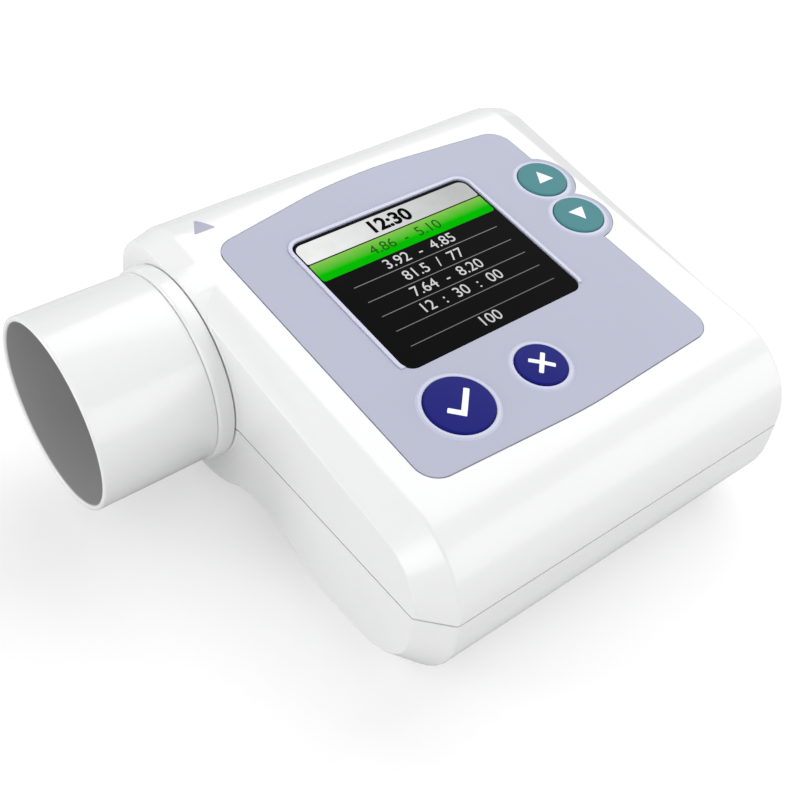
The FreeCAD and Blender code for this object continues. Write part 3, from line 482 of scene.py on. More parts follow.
def case_block(name, inset=0.0):
    """The casing's solid form, its surface moved inwards by inset."""
    casing = bpy.context.scene.spirometer_casing
    ridge = inset_corners(case_corners(), lambda y: inset)
    face = inset_corners(case_corners(), lambda y: inset + end_bevel_at(y))
    face_x = casing.width / 2 - inset
    ridge_x = casing.width / 2 - casing.bevel_across - inset * math.tan(math.pi / 8)
    bm = bmesh.new()
    sections = [add_section(bm, corners, x) for corners, x in
                ((face, -face_x), (ridge, -ridge_x), (ridge, ridge_x), (face, face_x))]
    for one, other in zip(sections, sections[1:]):
        bmesh.ops.bridge_loops(bm, edges=one + other)
    bmesh.ops.contextual_create(bm, geom=sections[0])
    bmesh.ops.contextual_create(bm, geom=sections[-1])
    bmesh.ops.recalc_face_normals(bm, faces=bm.faces)
    if inset == 0:
        for ridges, softness in ((sections[0] + sections[3], casing.face_ridge),
                                 (sections[1] + sections[2], casing.deck_ridge)):
            round_off(bm, [edge for edge in ridges if edge.is_valid], softness, 4)
    return finish_mesh(name, bm, Matrix.Translation(case_origin()))


def airway_rod(name, radius, start, end, chamfer=0.0, flare=0.0):
    """A round bar along the airway, between two places across the casing."""
    bm = bmesh.new()
    bmesh.ops.create_cone(bm, cap_ends=True, segments=ROUND_STEPS, radius1=radius, radius2=radius + flare,
                          depth=end - start)
    bmesh.ops.translate(bm, vec=(0, 0, (start + end) / 2), verts=bm.verts)
    if chamfer:
        rim = [edge for edge in bm.edges if all(abs(vert.co.z - start) < chamfer / 10 for vert in edge.verts)]
        round_off(bm, rim, chamfer, 4)
    return finish_mesh(name, bm, airway_matrix())


def case_solid():
    """The casing with its boss, solid."""
    casing, _, _, _ = scene_sizes()
    solid = case_block("casing_form")
    outline = inset_corners(case_corners(), lambda y: casing.boss_edge / 10)
    boss_face = -(casing.width / 2 + casing.boss_reach)
    boss_end = boss_face + casing.boss_depth
    boss = airway_rod("boss_form", casing.boss_radius, boss_face, boss_end, casing.boss_edge,
                      casing.boss_flare)
    clip = plate(outline, boss_face - MM, boss_end - MM)
    place = Matrix.Translation(case_origin()) @ upright(0)
    combine(boss, finish_mesh("boss_clip", clip, place), "INTERSECT")
    combine(solid, boss, "UNION")
    return solid


def screw_places():
    """Case screw places (x, y, drop of the head below the parting plane)."""
    casing, _, _, _ = scene_sizes()
    across = 30 * MM
    front = (9 * MM, 12.5 * MM)
    rear = (casing.depth - 4.9 * MM, 7 * MM)
    return [(side * across, y, drop) for side in (-1, 1) for y, drop in (front, rear)]


def key_places():
    """Each key's body, place, radius and finish."""
    _, _, deck, _ = scene_sizes()
    return [("confirm_button", deck.confirm_place, deck.confirm_radius, "blue_key"),
            ("cancel_button", deck.cancel_place, deck.cancel_radius, "blue_key"),
            ("up_button", deck.up_place, deck.arrow_radius, "teal_key"),
            ("down_button", deck.down_place, deck.arrow_radius, "teal_key")]


def overlay_form(name, margin, low, high):
    """The overlay's outline: crowned top and bottom, with a lobe round each arrow key."""
    _, _, deck, _ = scene_sizes()
    corner = deck.overlay_corner + margin
    left = deck.overlay_low[0] - margin
    right = deck.overlay_high[0] + margin
    top_right = deck.overlay_top_right + margin
    middle = (deck.overlay_low[0] + deck.overlay_high[0]) / 2
    crown = 95 * MM
    shoulder = deck.up_place[1] + deck.lobe_radius / 2
    corners = [
        (left, deck.overlay_low[1] - margin, corner),
        (middle, deck.overlay_low[1] - deck.crown_low - margin, crown),
        (right, deck.overlay_low[1] - margin, corner),
        (right, deck.down_place[1], 0),
        (top_right, shoulder, 0),
        (top_right, deck.overlay_high[1] + deck.overlay_corner / 4 + margin, corner),
        (middle, deck.overlay_high[1] + deck.crown_high + margin, crown),
        (left, deck.overlay_high[1] - deck.overlay_corner / 4 + margin, corner),
    ]
    piece = deck_plate(name, corners, low, high)
    for centre in (deck.up_place, deck.down_place):
        lobe = cylinder(deck.lobe_radius + margin, low, high)
        combine(piece, deck_round("lobe", lobe, centre), "UNION")
    return piece


def open_deck(piece, low, high):
    """Cut the window and the key holes through a part of the deck."""
    combine(piece, deck_plate("window_cut", window_corners(WINDOW_ROOM), low, high), "DIFFERENCE")
    for _, centre, radius, _ in key_places():
        hole = cylinder(radius + KEY_ROOM, low, high)
        combine(piece, deck_round("key_hole", hole, centre), "DIFFERENCE")


def mark_corners(margin=0.0):
    """The alignment mark: a triangle that points back."""
    _, _, deck, _ = scene_sizes()
    radius = deck.mark_radius + 2 * margin
    return [(deck.mark_place[0] + radius * math.cos(math.radians(turn)),
             deck.mark_place[1] + radius * math.sin(math.radians(turn)), radius / 10)
            for turn in (90, 210, 330)]


def cut_deck(shell):
    """Cut the overlay's bed, the window, the key holes and the mark into the deck."""
    casing, _, deck, _ = scene_sizes()
    combine(shell, overlay_form("bed", BED_ROOM, -deck.recess, casing.wall), "DIFFERENCE")
    open_deck(shell, -2 * casing.wall, casing.wall)
    combine(shell, deck_plate("mark_cut", mark_corners(), -MARK_BED_DEPTH, casing.wall), "DIFFERENCE")


def cut_bores(shell):
    """Open the airway on both sides, and the charging port on the right."""
    casing, airway, _, _ = scene_sizes()
    half = casing.width / 2
    hub_end = airway.hub_depth + 0.3 * MM - half
    boss_face = -(half + casing.boss_reach)
    for radius, start, end in ((airway.cartridge_radius, -2 * half, 2 * half),
                               (airway.hub_radius, boss_face - MM, hub_end)):
        combine(shell, airway_rod("bore", radius + BORE_ROOM, start, end), "DIFFERENCE")
    low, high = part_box("charging_port")
    margin = Vector((0, 1, 1)) * PORT_ROOM
    port = block(low - margin, Vector((half * 2, high.y, high.z)) + margin)
    combine(shell, finish_mesh("port_cut", port), "DIFFERENCE")


def clip_half(shell, low, high):
    """Keep what lies between two heights over the parting plane."""
    casing, _, _, _ = scene_sizes()
    reach = Vector((2 * casing.width, 2 * casing.depth, 0))
    middle = case_origin()
    cut = block(middle - reach + Vector((0, 0, low)), middle + reach + Vector((0, 0, high)))
    combine(shell, finish_mesh("half", cut), "INTERSECT")


def hollow_casing(name):
    """The casing as one hollow form, with the channel round the airway."""
    casing, airway, _, _ = scene_sizes()
    shell = case_solid()
    shell.name = name
    half = casing.width / 2
    core = case_block("core", casing.wall)
    channel_radius = airway.cartridge_radius + 1.6 * MM
    boss_end = casing.boss_depth - casing.boss_reach - half
    for radius, end in ((channel_radius, half + MM), (casing.boss_radius, boss_end)):
        combine(core, airway_rod("channel", radius, -half - MM, end), "DIFFERENCE")
    combine(shell, core, "DIFFERENCE")
    return shell


def make_top_shell():
    """The upper shell, with the deck's openings."""
    casing, _, _, _ = scene_sizes()
    shell = hollow_casing("casing_top")
    clip_half(shell, casing.parting_gap / 2, casing.width)
    cut_deck(shell)
    cut_bores(shell)
    return shell


def make_bottom_shell():
    """The lower shell, with its screw posts."""
    casing, _, _, _ = scene_sizes()
    shell = hollow_casing("casing_bottom")
    gap = casing.parting_gap / 2
    clip_half(shell, -casing.width, -gap)
    origin = Matrix.Translation(case_origin())
    for x, y, _ in screw_places():
        post = cylinder(POST_RADIUS, -casing.rest_drop - MM, -gap)
        bmesh.ops.translate(post, vec=(x, y, 0), verts=post.verts)
        piece = finish_mesh("post", post, origin)
        combine(piece, case_block("post_clip", casing.wall / 2), "INTERSECT")
        combine(shell, piece, "UNION")
    for x, y, drop in screw_places():
        for radius, top in ((HEAD_BORE, -drop), (SHANK_BORE, MM)):
            hole = cylinder(radius, -2 * casing.rest_drop, top, SCREW_STEPS)
            bmesh.ops.translate(hole, vec=(x, y, 0), verts=hole.verts)
            combine(shell, finish_mesh("screw_hole", hole, origin), "DIFFERENCE")
    cut_bores(shell)
    return shell


# Materials

class Paints:
    """Makes and keeps the node materials, one for each finish."""

    def __init__(self):
        self.made = {}

    def start(self, name, colour, roughness, coat=0.0, metallic=0.0, specular=0.5):
        """A new material's nodes, its shader, and an object coordinate to hang patterns on."""
        material = bpy.data.materials.new(name)
        material.use_nodes = True
        nodes = material.node_tree.nodes
        shader = nodes["Principled BSDF"]
        shader.inputs["Base Color"].default_value = (*colour, 1)
        shader.inputs["Roughness"].default_value = roughness
        shader.inputs["Metallic"].default_value = metallic
        shader.inputs["Coat Weight"].default_value = coat
        shader.inputs["Coat Roughness"].default_value = 0.08
        shader.inputs["Specular IOR Level"].default_value = specular
        where = nodes.new("ShaderNodeTexCoord")
        self.made[name] = material
        return material.node_tree, shader, where.outputs["Object"]


paints = Paints()


def noise(tree, where, scale, detail=3.0, rough=0.5):
    """A noise pattern over object coordinates, in cells per metre."""
    node = tree.nodes.new("ShaderNodeTexNoise")
    node.inputs["Scale"].default_value = scale
    node.inputs["Detail"].default_value = detail
    node.inputs["Roughness"].default_value = rough
    tree.links.new(where, node.inputs["Vector"])
    return node.outputs["Fac"]


def spread(tree, value, low, high, start=0.3, end=0.7):
    """Map a pattern's middle range onto low to high."""
    node = tree.nodes.new("ShaderNodeMapRange")
    node.inputs["From Min"].default_value = start
    node.inputs["From Max"].default_value = end
    node.inputs["To Min"].default_value = low
    node.inputs["To Max"].default_value = high
    tree.links.new(value, node.inputs["Value"])
    return node.outputs["Result"]


def blend_colours(tree, factor, one, other):
    """Mix two colours by a pattern."""
    node = tree.nodes.new("ShaderNodeMix")
    node.data_type = "RGBA"
    node.inputs["A"].default_value = (*one, 1)
    node.inputs["B"].default_value = (*other, 1)
    tree.links.new(factor, node.inputs["Factor"])
    return node.outputs["Result"]


def tone_by(tree, shader, pattern, one, other):
    """Let a pattern run the base colour between two colours."""
    tree.links.new(blend_colours(tree, pattern, one, other), shader.inputs["Base Color"])


def gloss_by(tree, shader, pattern, low, high):
    """Let a pattern run the roughness between two values."""
    tree.links.new(spread(tree, pattern, low, high), shader.inputs["Roughness"])


def raise_bump(tree, shader, value, distance, strength=1.0):
    """Relief from a pattern, its height in metres."""
    node = tree.nodes.new("ShaderNodeBump")
    node.inputs["Distance"].default_value = distance
    node.inputs["Strength"].default_value = strength
    tree.links.new(value, node.inputs["Height"])
    tree.links.new(node.outputs["Normal"], shader.inputs["Normal"])


def shade(colour, factor):
    """A colour made darker or lighter."""
    return tuple(min(1.0, part * factor) for part in colour)


def moulded(name, colour, roughness=0.22, coat=0.3, cloud=0.01, grain=900.0, relief=0.001, specular=0.5):
    """Moulded plastic: faint clouds of tone, uneven gloss and a very low moulding ripple."""
    tree, shader, where = paints.start(name, colour, roughness, coat, specular=specular)
    tone_by(tree, shader, noise(tree, where, 60), shade(colour, 1 - cloud), shade(colour, 1 + cloud))
    gloss_by(tree, shader, noise(tree, where, grain / 3), roughness * 0.97, roughness * 1.03)
    raise_bump(tree, shader, noise(tree, where, grain, 2), relief * MM)


def printed_film(name, colour):
    """Polyester overlay film: even colour, satin grain."""
    tree, shader, where = paints.start(name, colour, 0.38, specular=0.15)
    tone_by(tree, shader, noise(tree, where, 35), shade(colour, 0.97), shade(colour, 1.03))
    grain = noise(tree, where, 6000, 2)
    gloss_by(tree, shader, grain, 0.33, 0.45)
    raise_bump(tree, shader, grain, 0.002 * MM)


def black_glass(name, colour):
    """The display's glass: black, polished, with faint smears."""
    tree, shader, where = paints.start(name, colour, 0.09, specular=0.02)
    smears = noise(tree, where, 90, 4)
    gloss_by(tree, shader, smears, 0.06, 0.14)
    tone_by(tree, shader, smears, shade(colour, 0.6), shade(colour, 1.6))


def lit(name, low, high, start, end, axis="Y"):
    """A lit part of the picture, its colour running along an axis from low to high."""
    tree, shader, where = paints.start(name, (0, 0, 0), 0.15, specular=0)
    parts = tree.nodes.new("ShaderNodeSeparateXYZ")
    tree.links.new(where, parts.inputs["Vector"])
    along = spread(tree, parts.outputs[axis], 0, 1, start, end)
    grid = spread(tree, noise(tree, where, 400, 1), 0.97, 1.03)
    tone = blend_colours(tree, along, low, high)
    scale = tree.nodes.new("ShaderNodeVectorMath")
    scale.operation = "SCALE"
    tree.links.new(tone, scale.inputs[0])
    tree.links.new(grid, scale.inputs["Scale"])
    tree.links.new(scale.outputs["Vector"], shader.inputs["Emission Color"])
    shader.inputs["Emission Strength"].default_value = 1


def turned_steel(name):
    """Plated steel, brushed by its turning."""
    tree, shader, where = paints.start(name, (0.56, 0.57, 0.58), 0.28, 0, 1)
    lines = noise(tree, where, 2500, 4)
    gloss_by(tree, shader, lines, 0.2, 0.4)
    tone_by(tree, shader, lines, (0.48, 0.49, 0.5), (0.62, 0.63, 0.64))
    raise_bump(tree, shader, lines, 0.004 * MM)


def circuit_board(name):
    """Green solder mask over a lattice of tracks."""
    green = (0.01, 0.11, 0.045)
    tree, shader, where = paints.start(name, green, 0.3, 0.2)
    bricks = tree.nodes.new("ShaderNodeTexBrick")
    bricks.inputs["Scale"].default_value = 180
    bricks.inputs["Mortar Size"].default_value = 0.04
    bricks.inputs["Color1"].default_value = (*green, 1)
    bricks.inputs["Color2"].default_value = (*shade(green, 1.25), 1)
    bricks.inputs["Mortar"].default_value = (0.03, 0.2, 0.08, 1)
    tree.links.new(where, bricks.inputs["Vector"])
    tree.links.new(bricks.outputs["Color"], shader.inputs["Base Color"])
    raise_bump(tree, shader, bricks.outputs["Fac"], 0.02 * MM)


def wrapped_foil(name):
    """Silver grey foil of the battery, with creases."""
    grey = (0.42, 0.43, 0.45)
    tree, shader, where = paints.start(name, grey, 0.35, 0, 0.7)
    creases = noise(tree, where, 140, 5, 0.6)
    gloss_by(tree, shader, creases, 0.28, 0.45)
    tone_by(tree, shader, creases, shade(grey, 0.9), shade(grey, 1.1))
    raise_bump(tree, shader, creases, 0.1 * MM)


def clear_plastic(name, colour, clear=0.6):
    """Clear moulded plastic with a slight haze."""
    tree, shader, where = paints.start(name, colour, 0.12)
    shader.inputs["Transmission Weight"].default_value = clear
    shader.inputs["IOR"].default_value = 1.49
    haze = noise(tree, where, 300)
    gloss_by(tree, shader, haze, 0.08, 0.2)
    raise_bump(tree, shader, haze, 0.004 * MM)


def make_materials():
    """Every finish, by the name that the pieces use."""
    _, _, _, colours = scene_sizes()
    moulded("casing_white", colours.casing, 0.26, 0.3)
    moulded("tube_white", colours.tube, 0.24, 0.35)
    # Painted shade for the inside of the white mouthpiece
    moulded("bore_grey", colours.bore, 0.42, 0.05)
    moulded("blue_cap", colours.blue_key, 0.4, 0, 0.03, specular=0.1)
    moulded("teal_cap", colours.teal_key, 0.4, 0, 0.03, specular=0.15)
    moulded("symbol_white", (0.86, 0.88, 0.9), 0.35, 0.1)
    # Lighter copy of the overlay lilac for the raised rims: painted highlight
    moulded("rim_pale", colours.rim, 0.25, 0.3)
    moulded("mark_print", colours.mark, 0.4, 0.1)
    moulded("seal_rubber", (0.03, 0.03, 0.032), 0.65, 0, 0.1)
    moulded("chip_black", (0.02, 0.02, 0.022), 0.5, 0, 0.15)
    moulded("plug_cream", (0.7, 0.66, 0.54), 0.4, 0.05)
    moulded("vane_film", (0.5, 0.51, 0.53), 0.3, 0.2)
    moulded("jewel_red", (0.35, 0.02, 0.05), 0.1, 0.5)
    printed_film("overlay_film", colours.overlay)
    black_glass("display_black", colours.glass)
    turned_steel("steel")
    circuit_board("board_green")
    wrapped_foil("cell_foil")
    clear_plastic("stator_clear", (0.85, 0.88, 0.9))
    clear_plastic("sensor_clear", (0.5, 0.55, 0.6))


# Pieces

class SPIROMETER_OT_casing(bpy.types.Operator):
    """Build the two moulded shells"""
    bl_idname = "spirometer.casing"
    bl_label = "Casing shells"

    def execute(self, context):
        casing = context.scene.spirometer_casing
        for piece, node in ((make_top_shell(), "top_shell"), (make_bottom_shell(), "bottom_shell")):
            soften(piece, casing.edge_softness)
            dress(piece, "casing_white", "casing", "casing", node)
        return {"FINISHED"}


class SPIROMETER_OT_mark(bpy.types.Operator):
    """Fill the alignment mark beside the tube"""
    bl_idname = "spirometer.mark"
    bl_label = "Alignment mark"

    def execute(self, context):
        piece = deck_plate("alignment_mark", mark_corners(-SINK), -MARK_DEPTH, MM, 4)
        combine(piece, case_block("mark_clip", SINK), "INTERSECT")
        smooth(piece)
        dress(piece, "mark_print", "casing", "overlay")
        return {"FINISHED"}


def rim_points(inner, width, base, height):
    """The (radius, z) outline of a low rounded rim."""
    return rounded_points([(inner, base, 0), (inner + width, base, 0),
                           (inner + width * 0.55, base + height, height * 1.5),
                           (inner, base + height, height * 0.4)])


class SPIROMETER_OT_overlay(bpy.types.Operator):
    """Build the keypad overlay, its raised rims and its openings"""
    bl_idname = "spirometer.overlay"
    bl_label = "Keypad overlay"

    def execute(self, context):
        deck = context.scene.spirometer_deck
        top = deck.overlay_thickness - deck.recess
        sheet = overlay_form("overlay_sheet", 0, -deck.recess, top)
        open_deck(sheet, -MM, MM)
        soften(sheet, 0.08 * MM)
        dress(sheet, "overlay_film", "casing", "overlay", "keypad_overlay")
        for body, centre, radius, _ in key_places():
            ring = turned(rim_points(radius + 0.12 * MM, deck.ring_width, top - SINK, deck.rim_height))
            piece = deck_round(body.replace("button", "rim"), ring, centre)
            smooth(piece, 60)
            # The key rings take the lightened rim colour, a painted highlight
            dress(piece, "rim_pale", "casing", "overlay")
        self.window_rim(deck, top)
        return {"FINISHED"}

    def window_rim(self, deck, top):
        """A low raised frame round the display window, open along the bottom."""
        outer = window_corners(WINDOW_ROOM + deck.rim_width)
        rim = deck_plate("window_rim", outer, top - SINK, top + deck.rim_height)
        combine(rim, deck_plate("window_cut", window_corners(WINDOW_ROOM), -MM, MM), "DIFFERENCE")
        middle = Vector((*deck.window_place, 0))
        span = Vector((*deck.window_size, 0))
        open_share = 1.47
        lower = block(middle - span - Vector((0, 0, MM)),
                      middle + span - Vector((0, open_share * span.y, -MM)))
        combine(rim, finish_mesh("lower_cut", lower, deck_matrix()), "DIFFERENCE")
        soften(rim, 0.15 * MM, 4)
        # The window rim takes the lightened rim colour, a painted highlight
        dress(rim, "rim_pale", "casing", "overlay")


class SPIROMETER_OT_keys(bpy.types.Operator):
    """Build the four keys and their symbols"""
    bl_idname = "spirometer.keys"
    bl_label = "Keys"

    def execute(self, context):
        for body, centre, radius, slot in key_places():
            self.cap(body, centre, radius, slot)
            self.sign(body, centre, radius, slot)
        return {"FINISHED"}

    def cap(self, body, centre, radius, slot):
        """A domed cap on a flange that rests under the deck."""
        casing, _, deck, _ = scene_sizes()
        flange = 0.6 * MM
        flange_top = -(casing.wall + 0.3 * MM)
        flange_low = flange_top - flange
        edge = rounded_points([(0, flange_top, 0), (radius, flange_top, 0),
                               (radius, deck.key_proud, deck.key_edge), (0, deck.key_proud, 0)], 6)
        side = [point for point in edge if point[0] > radius - deck.key_edge * 1.01]
        dome = dome_points(radius - deck.key_edge, deck.key_proud, deck.key_crown)
        cap = turned([(0, flange_low), (radius + flange, flange_low), (radius + flange, flange_top)]
                     + side + dome[1:])
        piece = deck_round(body.replace("button", "cap"), cap, centre)
        smooth(piece)
        dress(piece, slot.replace("key", "cap"), body, slot, body)

    def sign(self, body, centre, radius, slot):
        """A key's symbol, a thin sheet that follows the dome."""
        _, _, deck, _ = scene_sizes()
        skin = PICTURE_RISE
        low = dome_points(radius - deck.key_edge, deck.key_proud - skin, deck.key_crown)
        high = dome_points(radius - deck.key_edge, deck.key_proud + skin, deck.key_crown)
        sign = deck_round(body.replace("button", "symbol"), turned(low + high[::-1]), centre)
        place = deck_matrix() @ Matrix.Translation((*centre, 0))
        forms = [finish_mesh("stroke", plate(corners, 0, 2 * deck.key_proud, 2), place)
                 for corners in self.symbol(body, radius)]
        for form in forms[1:]:
            combine(forms[0], form, "UNION")
        combine(sign, forms[0], "INTERSECT")
        dress(sign, "symbol_white", body, slot)

    def symbol(self, body, radius):
        """The outlines of a tick, a cross or a triangle."""
        if body == "confirm_button":
            return [stroke_corners([(-0.46, -0.02), (-0.14, -0.34), (0.5, 0.32)], 0.085, radius)]
        if body == "cancel_button":
            return [stroke_corners([(-0.36, side * -0.36), (0.36, side * 0.36)], 0.09, radius)
                    for side in (-1, 1)]
        turn = 1 if body == "up_button" else -1
        corners = [(0, 0.4), (-0.36, -0.24), (0.36, -0.24)]
        return [[(x * turn * radius, y * turn * radius, 0.02 * MM) for x, y in corners]]


def dome_points(radius, base, rise, steps=10):
    """The (radius, z) points of a low dome's outline, from its edge to its middle."""
    return [(radius * (steps - step) / steps, base + rise * (1 - ((steps - step) / steps) ** 2))
            for step in range(steps + 1)]


def stroke_corners(points, half, scale):
    """Corners (x, y, radius) round a bent stroke of even width."""
    spots = [Vector(point) * scale for point in points]
    lines = [(other - one).normalized() for one, other in zip(spots, spots[1:])]
    before, after = [], []
    for index, spot in enumerate(spots):
        arriving = lines[max(index - 1, 0)]
        leaving = lines[min(index, len(lines) - 1)]
        across = Vector((-arriving.y - leaving.y, arriving.x + leaving.x)).normalized()
        reach = half * scale / (across.y * arriving.x - across.x * arriving.y)
        before.append((*(spot - across * reach), half * scale / 3))
        after.append((*(spot + across * reach), half * scale / 3))
    return before + after[::-1]


class SPIROMETER_OT_display(bpy.types.Operator):
    """Build the display window and its picture of plain numbers"""
    bl_idname = "spirometer.display"
    bl_label = "Display"

    ROWS = (("3.92  -  4.85", 0.36), ("81.5  /  77", 0.475), ("7.64  -  8.20", 0.588),
            ("12  :  30  :  00", 0.702), ("100", 0.925))
    LINES = (0.413, 0.53, 0.643, 0.757, 0.872)

    def execute(self, context):
        deck = context.scene.spirometer_deck
        pane = deck_plate("window_pane", window_corners(), -1.35 * MM, 0)
        soften(pane, 0.12 * MM)
        dress(pane, "display_black", "casing", "window", "display_window")
        self.header(deck)
        for text, depth in self.ROWS:
            self.number(deck, text, depth, 2.5 * MM, "picture_text")
        for index, depth in enumerate(self.LINES):
            low = self.point(deck, 0.1, depth + 0.002)
            high = self.point(deck, 0.92, depth - 0.002)
            self.area(f"picture_line_{index}", low, high, "picture_line")
        return {"FINISHED"}

    def point(self, deck, across, down):
        """A point of the picture, from its share across and down the window."""
        return Vector((deck.window_place[0] + (across - 0.5) * deck.window_size[0],
                       deck.window_place[1] + (0.5 - down) * deck.window_size[1]))

    def height(self, deck, down):
        """The model's y of a line across the picture, for the colours that run up it."""
        where = self.point(deck, 0.5, down)
        return (deck_matrix() @ Vector((*where, 0))).y

    def area(self, name, low, high, finish, above=0.0, below=0.0):
        """A flat lit area, its corners rounded above and below."""
        corners = [(low.x, low.y, below), (high.x, low.y, below),
                   (high.x, high.y, above), (low.x, high.y, above)]
        piece = deck_plate(name, corners, -SINK, PICTURE_RISE, 6)
        dress(piece, finish, "casing", "display")

    def header(self, deck):
        """The picture's finishes, its silver header and its green bar."""
        left, right = (case_origin().x + self.point(deck, across, 0).x for across in (0.1, 0.9))
        top, bottom = self.height(deck, 0), self.height(deck, 1)
        lit("picture_silver", (0.86, 0.87, 0.86), (0.52, 0.53, 0.53), left, right, "X")
        lit("picture_green", (0.002, 0.5, 0.001), (0.24, 0.56, 0.09), self.height(deck, 0.26),
            self.height(deck, 0.175))
        lit("picture_text", (0.62, 0.62, 0.62), (0.72, 0.72, 0.72), bottom, top)
        lit("picture_line", (0.2, 0.2, 0.2), (0.3, 0.3, 0.3), bottom, top)
        lit("picture_ink", (0.002, 0.002, 0.002), (0.004, 0.004, 0.004), bottom, top)
        lit("picture_green_ink", (0.01, 0.1, 0.005), (0.02, 0.13, 0.01), bottom, top)
        self.area("picture_header", self.point(deck, 0.01, 0.163), self.point(deck, 0.99, 0.022),
                  "picture_silver", deck.window_corner * 0.75, 0.4 * MM)
        self.area("picture_bar", self.point(deck, 0.01, 0.303), self.point(deck, 0.99, 0.172),
                  "picture_green", 0.3 * MM, 0.6 * MM)
        self.number(deck, "12:30", 0.095, 3.3 * MM, "picture_ink", 0.16 * MM)
        self.number(deck, "4.86  -  5.10", 0.24, 2.5 * MM, "picture_green_ink")

    def number(self, deck, text, down, height, finish, weight=0.0):
        """A row of plain numbers as a thin mesh, centred across the picture."""
        curve = bpy.data.curves.new("number", "FONT")
        curve.body = text
        curve.size = height / DIGIT_SHARE
        curve.align_x = "CENTER"
        curve.align_y = "CENTER"
        curve.extrude = 0.01 * MM
        curve.offset = weight
        writing = bpy.data.objects.new("number", curve)
        bpy.context.scene.collection.objects.link(writing)
        graph = bpy.context.evaluated_depsgraph_get()
        mesh = bpy.data.meshes.new_from_object(writing.evaluated_get(graph))
        bpy.data.objects.remove(writing)
        where = self.point(deck, 0.5, down)
        mesh.transform(deck_matrix() @ Matrix.Translation((*where, 0.04 * MM)))
        piece = link_mesh(f"picture_number_{int(down * 1000)}", mesh)
        dress(piece, finish, "casing", "display")


class SPIROMETER_OT_airway(bpy.types.Operator):
    """Build the mouthpiece tube and the turbine cartridge"""
    bl_idname = "spirometer.airway"
    bl_label = "Airway"

    def execute(self, context):
        casing, airway, _, _ = scene_sizes()
        boss_face = -(casing.width / 2 + casing.boss_reach)
        collar_back = boss_face - airway.collar_gap
        collar_front = -casing.width / 2 - airway.collar_front
        hub_end = airway.hub_depth - casing.width / 2
        self.mouthpiece(airway, collar_front, hub_end)
        self.cartridge(casing, airway, collar_back, collar_front, hub_end)
        return {"FINISHED"}

    def mouthpiece(self, airway, collar_front, hub_end):
        """The tube: straight at the mouth, tapered to a spigot in the cartridge's hub."""
        mouth = TUBE_LOW.x - case_origin().x
        bore = airway.tube_radius - airway.tube_wall
        spigot = airway.hub_radius - 1.05 * MM
        spigot_wall = 1.2 * MM
        end = hub_end - 1.5 * MM
        root = collar_front - 0.01 * MM
        bore_bend, taper_bend = 20 * MM, 60 * MM
        outline = rounded_points([
            (bore, mouth, airway.lip), (bore, mouth + airway.socket_length, bore_bend),
            (spigot - spigot_wall, end, 0), (spigot, end, 0), (spigot, root, 0),
            (airway.tube_root, root, 0.3 * MM), (airway.tube_radius, mouth + airway.mouth_length, taper_bend),
            (airway.tube_radius, mouth, airway.lip)], 6)
        piece = finish_mesh("mouthpiece", turned(outline, TUBE_STEPS), airway_matrix())
        smooth(piece, 50)
        # The second material is painted shade: faces inside the bore, past the lip, get a darker grey than
        # the white tube.
        paint(piece, paints.made["tube_white"], paints.made["bore_grey"])
        axis = airway_matrix().translation
        for face in piece.data.polygons:
            away = face.center - axis
            inward = face.normal.y * away.y + face.normal.z * away.z < 0
            deep = face.center.x > TUBE_LOW.x + airway.lip
            face.material_index = 1 if inward and deep else 0
        seat(piece, "mouthpiece", "tube", "mouthpiece_tube")

    def cartridge(self, casing, airway, collar_back, collar_front, hub_end):
        """Collar and hub, plate and long tube."""
        tube_end = casing.width / 2 - 0.3 * MM
        inner = airway.cartridge_radius - airway.cartridge_wall
        hub_inner = airway.hub_radius - MM
        floor = hub_end - 1.2 * MM
        soft = 0.3 * MM
        outline = rounded_points([
            (hub_inner, collar_front, soft), (hub_inner, floor, 0), (inner, floor, soft),
            (inner, tube_end, soft), (airway.cartridge_radius, tube_end, soft),
            (airway.cartridge_radius, hub_end, 0), (airway.hub_radius, hub_end, 0),
            (airway.hub_radius, collar_back, 0), (airway.collar_radius, collar_back, soft),
            (airway.collar_radius, collar_front, 0.5 * MM)], 4)
        piece = finish_mesh("cartridge_body", turned(outline, TUBE_STEPS), airway_matrix())
        smooth(piece, 50)
        dress(piece, "tube_white", "cartridge", "tube", "turbine_cartridge")


class SPIROMETER_OT_inner_finishes(bpy.types.Operator):
    """Give the pieces that stay as they are in the frame their finishes"""
    bl_idname = "spirometer.inner_finishes"
    bl_label = "Inner pieces"

    FINISHES = {
        "display_module": "display_black", "snap_domes": "steel", "main_board": "board_green",
        "board_screws": "steel", "case_screws": "steel", "board_chips": "chip_black",
        "battery": "cell_foil", "battery_plug": "plug_cream", "buzzer": "chip_black",
        "charging_port": "steel", "seal_ring": "seal_rubber", "front_stator": "stator_clear",
        "rear_stator": "stator_clear", "rotor_bearings": "jewel_red", "rotor": "vane_film",
        "light_sender": "sensor_clear", "light_receiver": "sensor_clear",
    }

    def execute(self, context):
        for node, finish in self.FINISHES.items():
            paint(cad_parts[node], paints.made[finish])
        return {"FINISHED"}


